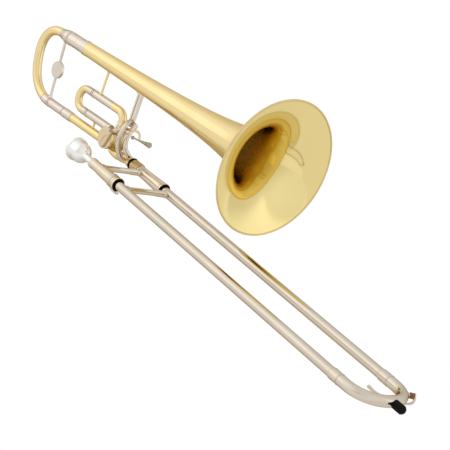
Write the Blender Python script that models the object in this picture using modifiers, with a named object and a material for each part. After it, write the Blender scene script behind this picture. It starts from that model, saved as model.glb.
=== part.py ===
"""Tenor trombone with one rotary valve and a short valve loop, as separate pieces.

World frame: +X is the way the hand slide runs out and the bell points, +Y the player's left, +Z up.
The origin is the middle of the inner slide brace, where the left hand holds the instrument.
The bell section leans a few degrees off the slide, so it has a frame of its own: its x runs along
the neckpipe towards the bell, its z runs from the neckpipe up to the bell tube, and its y points
away from the mouthpiece side. All lengths below are millimetres, turned into metres by MM.
"""
import math

import bmesh
import bpy
from mathutils import Euler, Matrix, Vector

MM = 0.001
GAP = 0.3                     # clearance between pieces that touch
ROUND = 16                    # sides of a tube
FINE_ROUND = 32               # sides of the bell
ROD_ROUND = 12                # sides of a thin rod
LEAD = 1.5                    # straight length at each end of a bent tube

# Hand slide
LEG_SPACING = 86.0
INNER_TUBE_R = 6.5
INNER_TUBE_WALL = 0.5
STOCKING_R = 6.65
STOCKING_LENGTH = 120.0
SLIDE_CLEARANCE = 0.25
OUTER_TUBE_WALL = 0.4
RECEIVER_START_X = -17.0
BARREL_START_X = 7.0
BARREL_END_X = 66.0
BARREL_SMALL_R = 8.7
BARREL_LARGE_R = 10.4
BARREL_MOUTH_R = 11.1
BARREL_WALL = 0.8
OUTER_TUBE_START_X = 58.0
CROOK_START_X = 646.0
END_FERRULE_LENGTH = 18.0
END_FERRULE_WALL = 0.7
CROOK_STRAIGHT = 7.8
CROOK_DEPTH = 42.5            # how far the bow runs out past its straight ends
CROOK_FULLNESS = 2.26         # 2 is an ellipse, more is squarer
CROOK_WALL = 0.7
INNER_TUBE_SHORT = 12.0       # how far the inner tubes stop before the crook
BRACE_R = 4.6
BRACE_FERRULE_R = 5.4
BRACE_FERRULE_LENGTH = 12.0
OUTER_BRACE_X = 81.0
RUBBER_RING_LENGTH = 3.0

# Mouthpiece
CUP_RIM_R = 19.4
CUP_INNER_R = 12.7
CUP_DEPTH = 25.0
THROAT_R = 3.2
BACKBORE_R = 4.6
SHANK_TIP_R = 5.5
SHANK_MOUTH_R = 6.3
MOUTHPIECE_LENGTH = 82.5
SHANK_INSERTION = 26.0
CUP_BOWL_R = 16.8
CUP_BOWL_MIDDLE = 16.5        # from the rim to the middle of the bowl

# Bumper and water key on the end crook
BUMPER_R = 6.3
BUMPER_TIP_R = 4.4
BUMPER_LENGTH = 15.5
BUMPER_Y = 4.0
KEY_ANGLE = math.radians(26.0)
KEY_ROD_R = 1.6
KEY_FINGER_REACH = 44.5
KEY_BARREL_R = 2.6
KEY_BARREL_LENGTH = 7.0
KEY_SCREW_R = 1.1
KEY_LUG_THICKNESS = 2.0
KEY_CORK_R = 4.0
KEY_CORK_LENGTH = 5.8
KEY_NIPPLE_R = 2.8
KEY_NIPPLE_LENGTH = 3.0
KEY_DROP = 4.2                # from the crook's underside down to the key's pivot

# Slide lock on the mouthpiece-side barrel
LOCK_START_X = 47.0
LOCK_LENGTH = 8.0
LOCK_WALL = 1.2
LOCK_NUB_R = 1.6
LOCK_NUB_REACH = 24.0

# Bell section frame, set against the slide
BELL_FRAME_PLACE = (-241.7, 22.7, 1.6)
BELL_YAW = math.radians(5.36)
BELL_PITCH = math.radians(1.20)
BELL_ROLL = math.radians(-1.60)
BELL_HEIGHT = 116.4           # from the neckpipe up to the bell tube

# Bell
BELL_START_X = 3.8
BELL_RIM_X = 506.0
BELL_RIM_R = 106.2
BELL_FLARE_POWER = 0.612
BELL_FLARE_OFFSET = 13.6
BELL_WALL = 0.7
BELL_BEAD_R = 1.3

# Main tuning slide
SLEEVE_START_X = -43.4
SLEEVE_STEP_X = 3.2
SLEEVE_END_X = 11.6
UPPER_LEG_R = 10.0
LOWER_LEG_R = 6.8
TUBE_WALL = 0.6
UPPER_SLEEVE_WALL = 1.1
LOWER_SLEEVE_WALL = 0.7
RING_RISE = 0.6
RING_LENGTH = 2.4
NECK_FERRULE_START_X = 1.6
NECK_FERRULE_END_X = 27.9
NECK_FERRULE_R = 8.3
NECKPIPE_R = 7.3
NECKPIPE_START_X = 19.0
LEG_INSERTION = 44.0
LEG_SEAT = 8.0                # how far the inner legs reach into the bow's ferrules
BOW_R = 7.7
BOW_TOP_X = -68.6
BOW_FOOT_X = -44.5
BOW_DEPTH = 57.0
BOW_FULLNESS = 2.29           # 2 is an ellipse, more is squarer
BOW_SEAM_X = -61.0            # where the lower end of the bow goes into its ferrule
FERRULE_RISE = 0.8
TUNING_BRACE_TOP_X = -55.2
TUNING_BRACE_FOOT_X = -47.0
TUNING_BRACE_R = 2.3
MEDALLION_R = 14.4
MEDALLION_THICKNESS = 5.8

# Valve
VALVE_X = 144.0
VALVE_Z = 11.2
CASING_R = 17.0
CASING_BORE_R = 14.6
CASING_HALF_LENGTH = 15.0
ROTOR_CLEARANCE = 0.3
CAP_R = 18.0
CAP_THICKNESS = 3.4
SPINDLE_R = 2.6
CRANK_R = 4.9
CRANK_THICKNESS = 1.6
CRANK_PIN_R = 1.1
PORT_WALL = 0.9
PORT_STUB = 7.0
ROTOR_TURN = math.radians(90.0)
PASSAGE_OFFSET = 6.3          # from the rotor's axis to the middle of each passage

# Valve loop
LOOP_UPPER_Z = 57.6
LOOP_LEG_R = 5.7
LOOP_SLEEVE_WALL = 0.7
LOOP_RING_X = 61.0
LOOP_UPPER_END_X = 119.6
LOOP_BOW_X = 44.0
LOOP_LEG_LENGTH = 34.0
LOOP_BRACE_X = 79.0
THIN_BRACE_R = 2.0
ELBOW_X = 153.0
ELBOW_BEND_R = 17.0
ELBOW_R = 6.8
STRUT_X = 86.5
STRUT_R = 1.8

# Gooseneck and slide receiver
GOOSENECK_R = 7.4
RECEIVER_LENGTH = 15.0
RECEIVER_R = 8.6
RECEIVER_RING_X = -34.0
NUT_START_X = -31.0
NUT_END_X = -9.4
NUT_R = 10.2
TENON_R = 7.6

# Bell brace and hand guard
BRACE_X = 173.0
BRACE_WIDTH = 10.5
BRACE_THICKNESS = 5.0
SOCKET_Z = 49.3
SOCKET_LENGTH = 18.0
SOCKET_OFFSET_X = 4.7
SOCKET_R = 4.8
GUARD_R = 3.5
REAR_GUARD = ((176.5, -3.5, 53.5), (183.0, -12.0, 55.0), (189.5, -21.5, 53.6), (192.6, -27.5, 47.5),
              (191.3, -28.6, 38.0), (189.3, -27.5, 26.0), (187.6, -24.0, 15.5), (187.3, -19.0, 6.0),
              (188.3, -13.0, -2.2), (190.0, -6.0, -7.0))
FRONT_GUARD = ((184.5, -2.0, 48.5), (188.0, -9.4, 38.6), (190.0, -13.6, 30.2), (193.0, -15.1, 21.0),
               (196.0, -12.9, 12.2), (198.0, -7.0, 5.5), (199.0, 0.5, -1.0))

# Thumb lever
LEVER_PIVOT = (158.6, 28.8)
LEVER_TURN = math.radians(14.0)
LEVER_THICKNESS = 1.8
LEVER_HALF_WIDTH = 2.1
LEVER_BARREL_R = 3.0
POST_FOOT_Y = -11.0
LEVER_SCREW_R = 1.2
LEVER_SLOT_CLEARANCE = 0.7
LEVER_SLOT_DEPTH = 2.0
LEVER_HEAD_THICKNESS = 3.2
LEVER_HEAD_HALF_WIDTH = 4.3
LEVER_ROUTE = ((168.6, 34.5), (179.5, 40.4), (193.5, 45.7), (206.0, 49.3), (215.5, 51.8), (222.5, 52.0),
               (227.6, 48.4), (229.7, 41.5))
TOUCH_START = (211.0, 39.5)
TOUCH_END = (245.5, 43.4)
TOUCH_ROD_R = 1.7
SPOON_HALF = (12.0, 5.2, 2.6)

GOLD_LACQUER = ("gold_lacquer_brass", (0.83, 0.64, 0.28), 0.16)
NICKEL = ("nickel_plate", (0.80, 0.73, 0.66), 0.20)
SLIDE_NICKEL = ("slide_nickel", (0.84, 0.78, 0.70), 0.18)
SILVER = ("silver_plate", (0.93, 0.93, 0.92), 0.08)
STEEL = ("screw_steel", (0.62, 0.58, 0.52), 0.28)
RUBBER = ("black_rubber", (0.012, 0.012, 0.012), 0.75)
CORK = ("red_cork", (0.36, 0.12, 0.04), 0.80)


def clear_scene():
    for obj in list(bpy.data.objects):
        bpy.data.objects.remove(obj, do_unlink=True)


def new_collection(name):
    collection = bpy.data.collections.new(name)
    bpy.context.scene.collection.children.link(collection)
    return collection


def finish_material(node, finish):
    name, color, roughness = finish
    label = node + "_" + name
    if label in bpy.data.materials:
        return bpy.data.materials[label]
    material = bpy.data.materials.new(label)
    material.use_nodes = True
    shader = material.node_tree.nodes["Principled BSDF"]
    shader.inputs["Base Color"].default_value = (*color, 1.0)
    shader.inputs["Roughness"].default_value = roughness
    shader.inputs["Metallic"].default_value = 0.0 if finish in (RUBBER, CORK) else 1.0
    return material


def place(obj, parent=None, location=(0.0, 0.0, 0.0), rotation=(0.0, 0.0, 0.0)):
    """Put an object at a place given in millimetres in its parent's frame."""
    obj.parent = parent
    obj.location = Vector(location) * MM
    obj.rotation_euler = rotation
    return obj


def frame_at(name, parent, location, rotation=(0.0, 0.0, 0.0)):
    empty = bpy.data.objects.new(name, None)
    empty.empty_display_size = 0.02
    PARTS.objects.link(empty)
    return place(empty, parent, location, rotation)


ALONG_X = (0.0, math.pi / 2, 0.0)
ALONG_Y = (-math.pi / 2, 0.0, 0.0)


def raw_object(name, mesh, collection):
    obj = bpy.data.objects.new(name, mesh)
    collection.objects.link(obj)
    return obj


def revolve(name, profile, collection, sides=ROUND):
    """Turn a closed profile of (place along the axis, radius) pairs, listed down the outer side."""
    mesh = bpy.data.meshes.new(name)
    points = [(radius * MM, 0.0, along * MM) for along, radius in profile]
    on_axis = profile[0][1] == 0.0
    edges = [(i, i + 1) for i in range(len(points) - 1)]
    if not on_axis:
        edges.append((len(points) - 1, 0))
    mesh.from_pydata(points, edges, [])
    obj = raw_object(name, mesh, collection)
    screw = obj.modifiers.new("Turn", "SCREW")
    screw.axis = "Z"
    screw.steps = sides
    screw.render_steps = sides
    screw.use_merge_vertices = on_axis
    screw.merge_threshold = 0.00001
    screw.use_smooth_shade = False
    return obj


def tube_profile(start, end, outer, inner):
    return [(end, outer), (start, outer), (start, inner), (end, inner)]


def solid_profile(start, end, radius):
    return [(end, 0.0), (end, radius), (start, radius), (start, 0.0)]


def path_curve(name, points, radius, collection, radii=None, sides=ROUND, caps=True):
    """A round rod or open tube along points in millimetres."""
    curve = bpy.data.curves.new(name, "CURVE")
    curve.dimensions = "3D"
    curve.bevel_depth = radius * MM
    curve.bevel_resolution = sides // 2 - 2
    curve.use_fill_caps = caps
    curve.twist_mode = "MINIMUM"
    spline = curve.splines.new("POLY")
    spline.points.add(len(points) - 1)
    for i, point in enumerate(points):
        spline.points[i].co = (*(Vector(point) * MM), 1.0)
        spline.points[i].radius = radii[i] / radius if radii else 1.0
    obj = bpy.data.objects.new(name, curve)
    collection.objects.link(obj)
    return obj


def shell_tube(name, points, radius, wall, collection, radii=None, sides=ROUND):
    """A bent tube: the outer surface along the points, with its wall added inwards."""
    obj = path_curve(name, points, radius, collection, radii, sides, caps=False)
    solid = obj.modifiers.new("Wall", "SOLIDIFY")
    solid.thickness = wall * MM
    solid.offset = -1.0
    solid.use_rim = True
    solid.use_even_offset = True
    return obj


def as_mesh(obj):
    """Swap an object for its evaluated mesh with the loose caps of a curve welded."""
    bpy.context.view_layer.update()
    graph = bpy.context.evaluated_depsgraph_get()
    mesh = bpy.data.meshes.new_from_object(obj.evaluated_get(graph), depsgraph=graph)
    work = bmesh.new()
    work.from_mesh(mesh)
    bmesh.ops.remove_doubles(work, verts=work.verts, dist=0.000002)
    bmesh.ops.recalc_face_normals(work, faces=work.faces)
    work.to_mesh(mesh)
    work.free()
    solid = bpy.data.objects.new(obj.name + "_solid", mesh)
    for collection in obj.users_collection:
        collection.objects.link(solid)
    solid.parent = obj.parent
    solid.matrix_local = obj.matrix_local.copy()
    name = obj.name
    data = obj.data
    bpy.data.objects.remove(obj, do_unlink=True)
    if isinstance(data, bpy.types.Curve):
        bpy.data.curves.remove(data)
    else:
        bpy.data.meshes.remove(data)
    solid.name = name
    return solid


def hide_cutter(obj):
    obj.hide_render = True
    obj.display_type = "WIRE"


def combine(target, tool, operation, solver="EXACT"):
    """Join a shape to a target or cut it out of it, and keep the tool as a hidden cutter."""
    modifier = target.modifiers.new(operation.title(), "BOOLEAN")
    modifier.operation = operation
    modifier.solver = solver
    modifier.object = tool
    hide_cutter(tool)
    return target


def finished(obj, finish):
    """Give a piece its material and smooth shading on its round faces."""
    if isinstance(obj.data, bpy.types.Mesh):
        obj.data.materials.clear()
        obj.data.materials.append(finish_material(obj.name, finish))
        obj.data.shade_smooth()
        if obj.data.polygons:
            obj.data.set_sharp_from_angle(angle=math.radians(35.0))
    else:
        obj.data.materials.append(finish_material(obj.name, finish))
    return obj


def turned_piece(name, profile, finish, parent, location=(0.0, 0.0, 0.0), rotation=ALONG_X, sides=ROUND):
    obj = revolve(name, profile, PARTS, sides)
    place(obj, parent, location, rotation)
    return finished(obj, finish)


def turned_tool(name, profile, parent, location=(0.0, 0.0, 0.0), rotation=ALONG_X, sides=ROUND):
    obj = revolve(name, profile, CUTTERS, sides)
    return as_mesh(place(obj, parent, location, rotation))


def rod_tool(name, points, radius, parent, radii=None, sides=ROD_ROUND):
    obj = path_curve(name, points, radius, CUTTERS, radii, sides)
    return as_mesh(place(obj, parent))


def rod_piece(name, points, radius, finish, parent, radii=None, sides=ROD_ROUND):
    obj = path_curve(name, points, radius, PARTS, radii, sides)
    return finished(as_mesh(place(obj, parent)), finish)


def bent_tube(name, points, radius, wall, finish, parent, radii=None, sides=ROUND):
    obj = shell_tube(name, points, radius, wall, PARTS, radii, sides)
    return finished(as_mesh(place(obj, parent)), finish)


def plate_outline(name, outline, thickness, collection, hole=None):
    """A flat plate in the x-z plane, from an outline and an optional hole, centred on y = 0."""
    curve = bpy.data.curves.new(name, "CURVE")
    curve.dimensions = "2D"
    curve.fill_mode = "BOTH"
    curve.extrude = thickness * MM / 2
    for loop in (outline, hole):
        if not loop:
            continue
        spline = curve.splines.new("POLY")
        spline.points.add(len(loop) - 1)
        for i, (x, z) in enumerate(loop):
            spline.points[i].co = (x * MM, z * MM, 0.0, 1.0)
        spline.use_cyclic_u = True
    obj = bpy.data.objects.new(name, curve)
    collection.objects.link(obj)
    obj.rotation_euler = (math.pi / 2, 0.0, 0.0)
    return obj


def arc(center, radius, start, end, count):
    """Points (x, z) on an arc, angles measured from +x towards +z."""
    step = (end - start) / (count - 1)
    return [(center[0] + radius * math.cos(start + step * i),
             center[1] + radius * math.sin(start + step * i)) for i in range(count)]


def ribbon(route, half_width):
    """The outline of a band of even width with round ends along a route of (x, z) points."""
    left, right = [], []
    for i, point in enumerate(route):
        before = Vector(route[max(i - 1, 0)])
        after = Vector(route[min(i + 1, len(route) - 1)])
        along = (after - before).normalized()
        side = Vector((-along.y, along.x)) * half_width
        left.append(tuple(Vector(point) + side))
        right.append(tuple(Vector(point) - side))
    first = math.atan2(route[1][1] - route[0][1], route[1][0] - route[0][0])
    last = math.atan2(route[-1][1] - route[-2][1], route[-1][0] - route[-2][0])
    end_cap = arc(route[-1], half_width, last + math.pi / 2, last - math.pi / 2, 7)[1:-1]
    start_cap = arc(route[0], half_width, first - math.pi / 2, first - math.pi * 3 / 2, 7)[1:-1]
    return left + end_cap + right[::-1] + start_cap


def smooth_route(points, per_span):
    """A Catmull-Rom curve through points of any dimension."""
    vectors = [Vector(p) for p in points]
    ends = [vectors[0] * 2 - vectors[1]] + vectors + [vectors[-1] * 2 - vectors[-2]]
    route = []
    for i in range(1, len(ends) - 2):
        a, b, c, d = ends[i - 1:i + 3]
        for k in range(per_span):
            t = k / per_span
            route.append(tuple(0.5 * (2 * b + (c - a) * t + (2 * a - 5 * b + 4 * c - d) * t * t
                                      + (3 * b - a - 3 * c + d) * t ** 3)))
    route.append(tuple(vectors[-1]))
    return route


clear_scene()
PARTS = new_collection("tenor_trombone")
CUTTERS = new_collection("cutters")
CUTTERS.hide_render = True

OUTER_TUBE_BORE = max(INNER_TUBE_R, STOCKING_R) + SLIDE_CLEARANCE
OUTER_TUBE_R = OUTER_TUBE_BORE + OUTER_TUBE_WALL
END_FERRULE_BORE = OUTER_TUBE_R + GAP
END_FERRULE_R = END_FERRULE_BORE + END_FERRULE_WALL
CROOK_R = END_FERRULE_R - 0.4
LEG_Y = LEG_SPACING / 2
MOUTH_LEG = (0.0, -LEG_Y, 0.0)
BELL_LEG = (0.0, LEG_Y, 0.0)


def barrel_profile():
    """A cork barrel: a long cone with a turned lip round a rubber ring at its mouth."""
    lip = 4.4
    bore = OUTER_TUBE_R + 2 * GAP
    mouth_bore = BARREL_MOUTH_R - BARREL_WALL
    seat = INNER_TUBE_R + GAP
    shoulder_x = OUTER_TUBE_START_X - 6.0
    ring_seat = BARREL_END_X - RUBBER_RING_LENGTH - 2 * GAP
    return [
        (BARREL_END_X, BARREL_MOUTH_R), (BARREL_END_X - lip * 0.6, BARREL_MOUTH_R),
        (BARREL_END_X - lip * 1.4, BARREL_LARGE_R), (BARREL_START_X, BARREL_SMALL_R),
        (BARREL_START_X, seat), (shoulder_x, seat), (shoulder_x, bore),
        (ring_seat, bore), (ring_seat, mouth_bore), (BARREL_END_X, mouth_bore),
    ]


def make_inner_slide():
    """The half of the hand slide that the left hand holds."""
    for side, leg in (("mouthpiece", MOUTH_LEG), ("bell", BELL_LEG)):
        turned_piece("cork_barrel_" + side + "_side", barrel_profile(), SLIDE_NICKEL, None, leg)
        ring_outer = BARREL_MOUTH_R - BARREL_WALL - GAP
        ring_inner = OUTER_TUBE_R + GAP
        turned_piece("barrel_ring_" + side + "_side",
                     tube_profile(BARREL_END_X - RUBBER_RING_LENGTH, BARREL_END_X, ring_outer, ring_inner),
                     RUBBER, None, leg)
        tube_end = CROOK_START_X - INNER_TUBE_SHORT
        bore = INNER_TUBE_R - INNER_TUBE_WALL
        stocking_start = tube_end - STOCKING_LENGTH
        profile = [(tube_end, STOCKING_R), (stocking_start, STOCKING_R), (stocking_start - 1.0, INNER_TUBE_R),
                   (BARREL_START_X - 4.0, INNER_TUBE_R), (BARREL_START_X - 4.0, bore), (tube_end, bore)]
        turned_piece("inner_tube_" + side + "_side", profile, SLIDE_NICKEL, None, leg)

    seat_x = BARREL_START_X - GAP
    bore = INNER_TUBE_R + GAP
    taper_mouth = SHANK_MOUTH_R + GAP
    leadpipe_free = BARREL_START_X - 4.0 - GAP
    receiver = [(seat_x, BARREL_SMALL_R), (RECEIVER_START_X + 5.0, 7.6), (RECEIVER_START_X + 4.0, 8.0),
                (RECEIVER_START_X, 8.0), (RECEIVER_START_X, taper_mouth),
                (leadpipe_free, SHANK_TIP_R + GAP), (leadpipe_free, bore), (seat_x, bore)]
    turned_piece("mouthpiece_receiver", receiver, SLIDE_NICKEL, None, MOUTH_LEG)

    tenon = [(seat_x, BARREL_SMALL_R), (NUT_END_X + GAP, BARREL_SMALL_R), (NUT_END_X + GAP, TENON_R),
             (NUT_END_X - 9.0, TENON_R - 0.4), (NUT_END_X - 9.0, 6.1), (leadpipe_free, 6.1),
             (leadpipe_free, bore), (seat_x, bore)]
    turned_piece("slide_tenon", tenon, SLIDE_NICKEL, None, BELL_LEG)

    make_slide_brace("inner_slide_brace", 0.0, BARREL_SMALL_R, BARREL_SMALL_R)


def make_slide_brace(name, x, low_leg_r, high_leg_r):
    """A cross brace with a saddle at each leg and a ferrule near the bell-side leg."""
    low = -LEG_Y + low_leg_r + GAP
    high = LEG_Y - high_leg_r - GAP
    ferrule_end = high - 4.0
    ferrule_start = ferrule_end - BRACE_FERRULE_LENGTH
    foot = 1.2
    profile = [
        (high, 0.0), (high, BRACE_R + foot), (high - 1.6, BRACE_R + foot), (high - 3.8, BRACE_R),
        (ferrule_end, BRACE_R), (ferrule_end, BRACE_FERRULE_R), (ferrule_start, BRACE_FERRULE_R),
        (ferrule_start, BRACE_R), (low + 3.8, BRACE_R), (low + 1.6, BRACE_R + foot),
        (low, BRACE_R + foot), (low, 0.0),
    ]
    brace = revolve(name, profile, PARTS, 16)
    place(brace, None, (x, 0.0, 0.0), ALONG_Y)
    return finished(brace, SLIDE_NICKEL)


def crook_route():
    """The end crook's centre line, a slightly squared half ellipse between the two legs."""
    bend_x = CROOK_START_X + CROOK_STRAIGHT
    count = 14
    points = [(CROOK_START_X, LEG_Y, 0.0)]
    for i in range(count + 1):
        angle = math.pi * i / count
        side = math.copysign(abs(math.cos(angle)) ** (2 / CROOK_FULLNESS), math.cos(angle))
        ahead = CROOK_DEPTH * math.sin(angle) ** (2 / CROOK_FULLNESS) if 0 < i < count else 0.0
        points.append((bend_x + ahead, LEG_Y * side, 0.0))
    points.append((CROOK_START_X, -LEG_Y, 0.0))
    return points


def crook_place(angle):
    """The place on the crook's centre line whose outward normal makes this angle with +Y."""
    bend_x = CROOK_START_X + CROOK_STRAIGHT
    power = CROOK_FULLNESS / (CROOK_FULLNESS - 1)
    size = (CROOK_DEPTH * math.sin(angle)) ** power + (LEG_Y * math.cos(angle)) ** power
    size = size ** (1 / CROOK_FULLNESS)
    x = CROOK_DEPTH * (CROOK_DEPTH * math.sin(angle)) ** (power - 1) / size
    y = LEG_Y * (LEG_Y * math.cos(angle)) ** (power - 1) / size
    return bend_x + x, y


def make_outer_slide():
    for side, leg in (("mouthpiece", MOUTH_LEG), ("bell", BELL_LEG)):
        end = CROOK_START_X - GAP
        tube = tube_profile(OUTER_TUBE_START_X, end, OUTER_TUBE_R, OUTER_TUBE_BORE)
        turned_piece("outer_tube_" + side + "_side", tube, SLIDE_NICKEL, None, leg)
        start = CROOK_START_X - END_FERRULE_LENGTH
        bead = 0.5
        ferrule = [(end, END_FERRULE_R + bead), (end - 1.6, END_FERRULE_R + bead), (end - 2.2, END_FERRULE_R),
                   (start, END_FERRULE_R), (start, END_FERRULE_BORE), (end, END_FERRULE_BORE)]
        turned_piece("end_ferrule_" + side + "_side", ferrule, SLIDE_NICKEL, None, leg)
    make_slide_brace("outer_slide_brace", OUTER_BRACE_X, OUTER_TUBE_R, OUTER_TUBE_R)

    crook = bent_tube("end_crook", crook_route(), CROOK_R, CROOK_WALL, SLIDE_NICKEL, None)
    peak = CROOK_START_X + CROOK_STRAIGHT + CROOK_DEPTH
    base = peak + CROOK_R
    tip = base + BUMPER_LENGTH
    profile = [(tip, 0.0), (tip, BUMPER_TIP_R), (tip - 2.2, BUMPER_R), (base - 1.5, BUMPER_R),
               (base - 1.5, 0.0)]
    bumper = turned_piece("rubber_bumper", profile, RUBBER, None, (0.0, BUMPER_Y, 0.0))
    combine(bumper, rod_tool("bumper_seat", crook_route(), CROOK_R + GAP, None, sides=ROUND), "DIFFERENCE")
    return crook


def key_frame():
    """The water key's frame: x outwards through the crook, z up, at the key's pivot."""
    x, y = crook_place(KEY_ANGLE)
    return frame_at("water_key_frame", None, (x, y, -CROOK_R - KEY_DROP), (0.0, 0.0, math.pi / 2 - KEY_ANGLE))


def make_water_key(crook):
    frame = key_frame()
    lift = CROOK_R + KEY_DROP          # from the pivot up to the crook's centre line
    half = KEY_BARREL_LENGTH / 2
    nipple_out = CROOK_R + KEY_NIPPLE_LENGTH
    inside = half + GAP
    outside = inside + KEY_LUG_THICKNESS
    bridge = KEY_BARREL_R + 0.5
    top = KEY_DROP + 2.5
    bottom = -KEY_BARREL_R
    outline = [(-outside, bottom), (-outside, top), (outside, top), (outside, bottom), (inside, bottom),
               (inside, bridge), (-inside, bridge), (-inside, bottom)]
    saddle = plate_outline("water_key_saddle", outline, 2 * KEY_BARREL_R, PARTS)
    saddle.parent = frame
    saddle.rotation_euler = (math.pi / 2, 0.0, math.pi / 2)
    saddle = finished(as_mesh(saddle), SLIDE_NICKEL)
    screw_hole = turned_tool("saddle_screw_hole", solid_profile(-12.0, 12.0, KEY_SCREW_R + GAP), frame,
                             (0, 0, 0), ALONG_Y, ROD_ROUND)
    combine(saddle, screw_hole, "DIFFERENCE", "MANIFOLD")
    tube_clear = rod_tool("saddle_crook_clearance", crook_route(), CROOK_R + GAP, None, sides=ROUND)
    combine(saddle, tube_clear, "DIFFERENCE", "MANIFOLD")

    # Drain nipple on the crook's outer side
    nipple = turned_tool("nipple_blank", solid_profile(CROOK_R - 1.4, nipple_out, KEY_NIPPLE_R), frame,
                         (0, 0, lift), ALONG_X, 16)
    combine(crook, nipple, "UNION")
    drain = turned_tool("nipple_drain", solid_profile(CROOK_R - 3.5, nipple_out + 1.0, 1.4), frame,
                        (0, 0, lift), ALONG_X, ROD_ROUND)
    combine(crook, drain, "DIFFERENCE")

    # Screw that the key turns on
    end = outside
    screw = [(end + 1.4, 0.0), (end + 1.4, KEY_SCREW_R + 0.9), (end + GAP, KEY_SCREW_R + 0.9),
             (end + GAP, KEY_SCREW_R), (-end, KEY_SCREW_R), (-end, 0.0)]
    turned_piece("water_key_screw", screw, STEEL, frame, (0, 0, 0), ALONG_Y, ROD_ROUND)

    # Lever: finger end inside the crook, a curl up round the outside that carries the cork
    cork_out = nipple_out + GAP + KEY_CORK_LENGTH
    plate_x = cork_out + GAP
    route = smooth_route([(-KEY_FINGER_REACH, 0.0, lift - 2.6), (-34.0, 0.0, 4.0), (-18.0, 0.0, 0.0),
                          (-5.0, 0.0, -1.0), (8.0, 0.0, -1.2), (plate_x + 0.6, 0.0, 1.6),
                          (plate_x + 2.9, 0.0, lift - 5.0), (plate_x + 1.45, 0.0, lift + 0.37)], 2)
    radii = [KEY_ROD_R * (1.45 - 0.45 * min(i / 6, 1.0)) for i in range(len(route))]
    lever = rod_piece("water_key_lever", route, KEY_ROD_R, SLIDE_NICKEL, frame, radii)
    barrel = turned_tool("key_barrel", solid_profile(-half, half, KEY_BARREL_R), frame,
                         (0, 0, 0), ALONG_Y, 16)
    combine(lever, barrel, "UNION")
    plate = turned_tool("key_plate", solid_profile(plate_x, plate_x + 1.6, KEY_CORK_R + 0.5), frame,
                        (0, 0, lift), ALONG_X, 16)
    combine(lever, plate, "UNION")
    bore = turned_tool("key_barrel_bore", solid_profile(-12.0, 12.0, KEY_SCREW_R + GAP), frame, (0, 0, 0),
                       ALONG_Y, ROD_ROUND)
    combine(lever, bore, "DIFFERENCE")
    turned_piece("water_key_cork", solid_profile(nipple_out + GAP, cork_out, KEY_CORK_R), CORK, frame,
                 (0, 0, lift), ALONG_X, 16)


def box_tool(name, parent, center, size):
    mesh = bpy.data.meshes.new(name)
    work = bmesh.new()
    bmesh.ops.create_cube(work, size=1.0, matrix=Matrix.Diagonal((*(Vector(size) * MM), 1.0)))
    work.to_mesh(mesh)
    work.free()
    return place(raw_object(name, mesh, CUTTERS), parent, center)


def make_slide_lock():
    """The ring that locks the slide shut, with a nub that hooks over the outer slide's end."""
    cone = (BARREL_LARGE_R - BARREL_SMALL_R) / (BARREL_END_X - 7.0 - BARREL_START_X)
    inner = BARREL_SMALL_R + cone * (LOCK_START_X + LOCK_LENGTH - BARREL_START_X) + GAP + 0.1
    outer = inner + LOCK_WALL
    ring = turned_piece("slide_lock_ring",
                        tube_profile(LOCK_START_X, LOCK_START_X + LOCK_LENGTH, outer, inner), SLIDE_NICKEL,
                        None, MOUTH_LEG)
    ring = finished(as_mesh(ring), SLIDE_NICKEL)
    reach_z = -BARREL_MOUTH_R - LOCK_NUB_R - 0.6
    route = smooth_route([(LOCK_START_X + 2.5, -LEG_Y, -outer - LOCK_NUB_R + 0.7),
                          (LOCK_START_X + 8.0, -LEG_Y, reach_z),
                          (LOCK_START_X + LOCK_NUB_REACH - 4.0, -LEG_Y, reach_z),
                          (LOCK_START_X + LOCK_NUB_REACH, -LEG_Y, reach_z + 2.0)], 4)
    combine(ring, rod_tool("lock_nub", route, LOCK_NUB_R, None), "UNION")
    return ring


def make_mouthpiece():
    """A tenor mouthpiece: rim, cup, throat, backbore and tapered shank."""
    tip = RECEIVER_START_X + SHANK_INSERTION
    rim = tip - MOUTHPIECE_LENGTH
    cup_end = rim + CUP_DEPTH
    middle = rim + CUP_BOWL_MIDDLE
    outer = [(tip, SHANK_TIP_R - 0.2), (RECEIVER_START_X, SHANK_MOUTH_R - 0.1), (middle + 20.0, 5.6),
             (middle + 17.0, 5.9)]
    for degrees in (22.0, 38.0, 54.0, 72.0, 90.0):
        angle = math.radians(degrees)
        outer.append((middle + CUP_BOWL_R * math.cos(angle), CUP_BOWL_R * math.sin(angle)))
    outer += [(rim + 7.0, CUP_BOWL_R + 0.5), (rim + 5.6, CUP_BOWL_R + 1.2), (rim + 4.4, CUP_RIM_R),
              (rim + 2.0, CUP_RIM_R), (rim + 0.8, CUP_RIM_R - 0.8), (rim, CUP_RIM_R - 2.4)]
    inner = [(rim + 0.3, CUP_INNER_R + 1.2), (rim + 2.0, CUP_INNER_R)]
    for i in range(1, 7):
        share = i / 6
        inner.append((rim + 2.0 + (CUP_DEPTH - 2.0) * share,
                      THROAT_R + (CUP_INNER_R - THROAT_R) * math.sqrt(max(0.0, 1.0 - share ** 2.2))))
    inner.append((cup_end + 8.0, THROAT_R + 0.1))
    inner.append((tip, BACKBORE_R))
    return turned_piece("mouthpiece", outer + inner, SILVER, None, MOUTH_LEG, ALONG_X, 20)


def make_bell_frame():
    rotation = Euler((BELL_ROLL, -BELL_PITCH, BELL_YAW), "XYZ")
    return frame_at("bell_section_frame", None, BELL_FRAME_PLACE, rotation)


def bell_radius(x):
    """The flare follows the horn law: the radius falls as a power of the distance from the rim."""
    from_rim = BELL_RIM_X - x
    return BELL_RIM_R * (BELL_FLARE_OFFSET / (from_rim + BELL_FLARE_OFFSET)) ** BELL_FLARE_POWER


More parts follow.
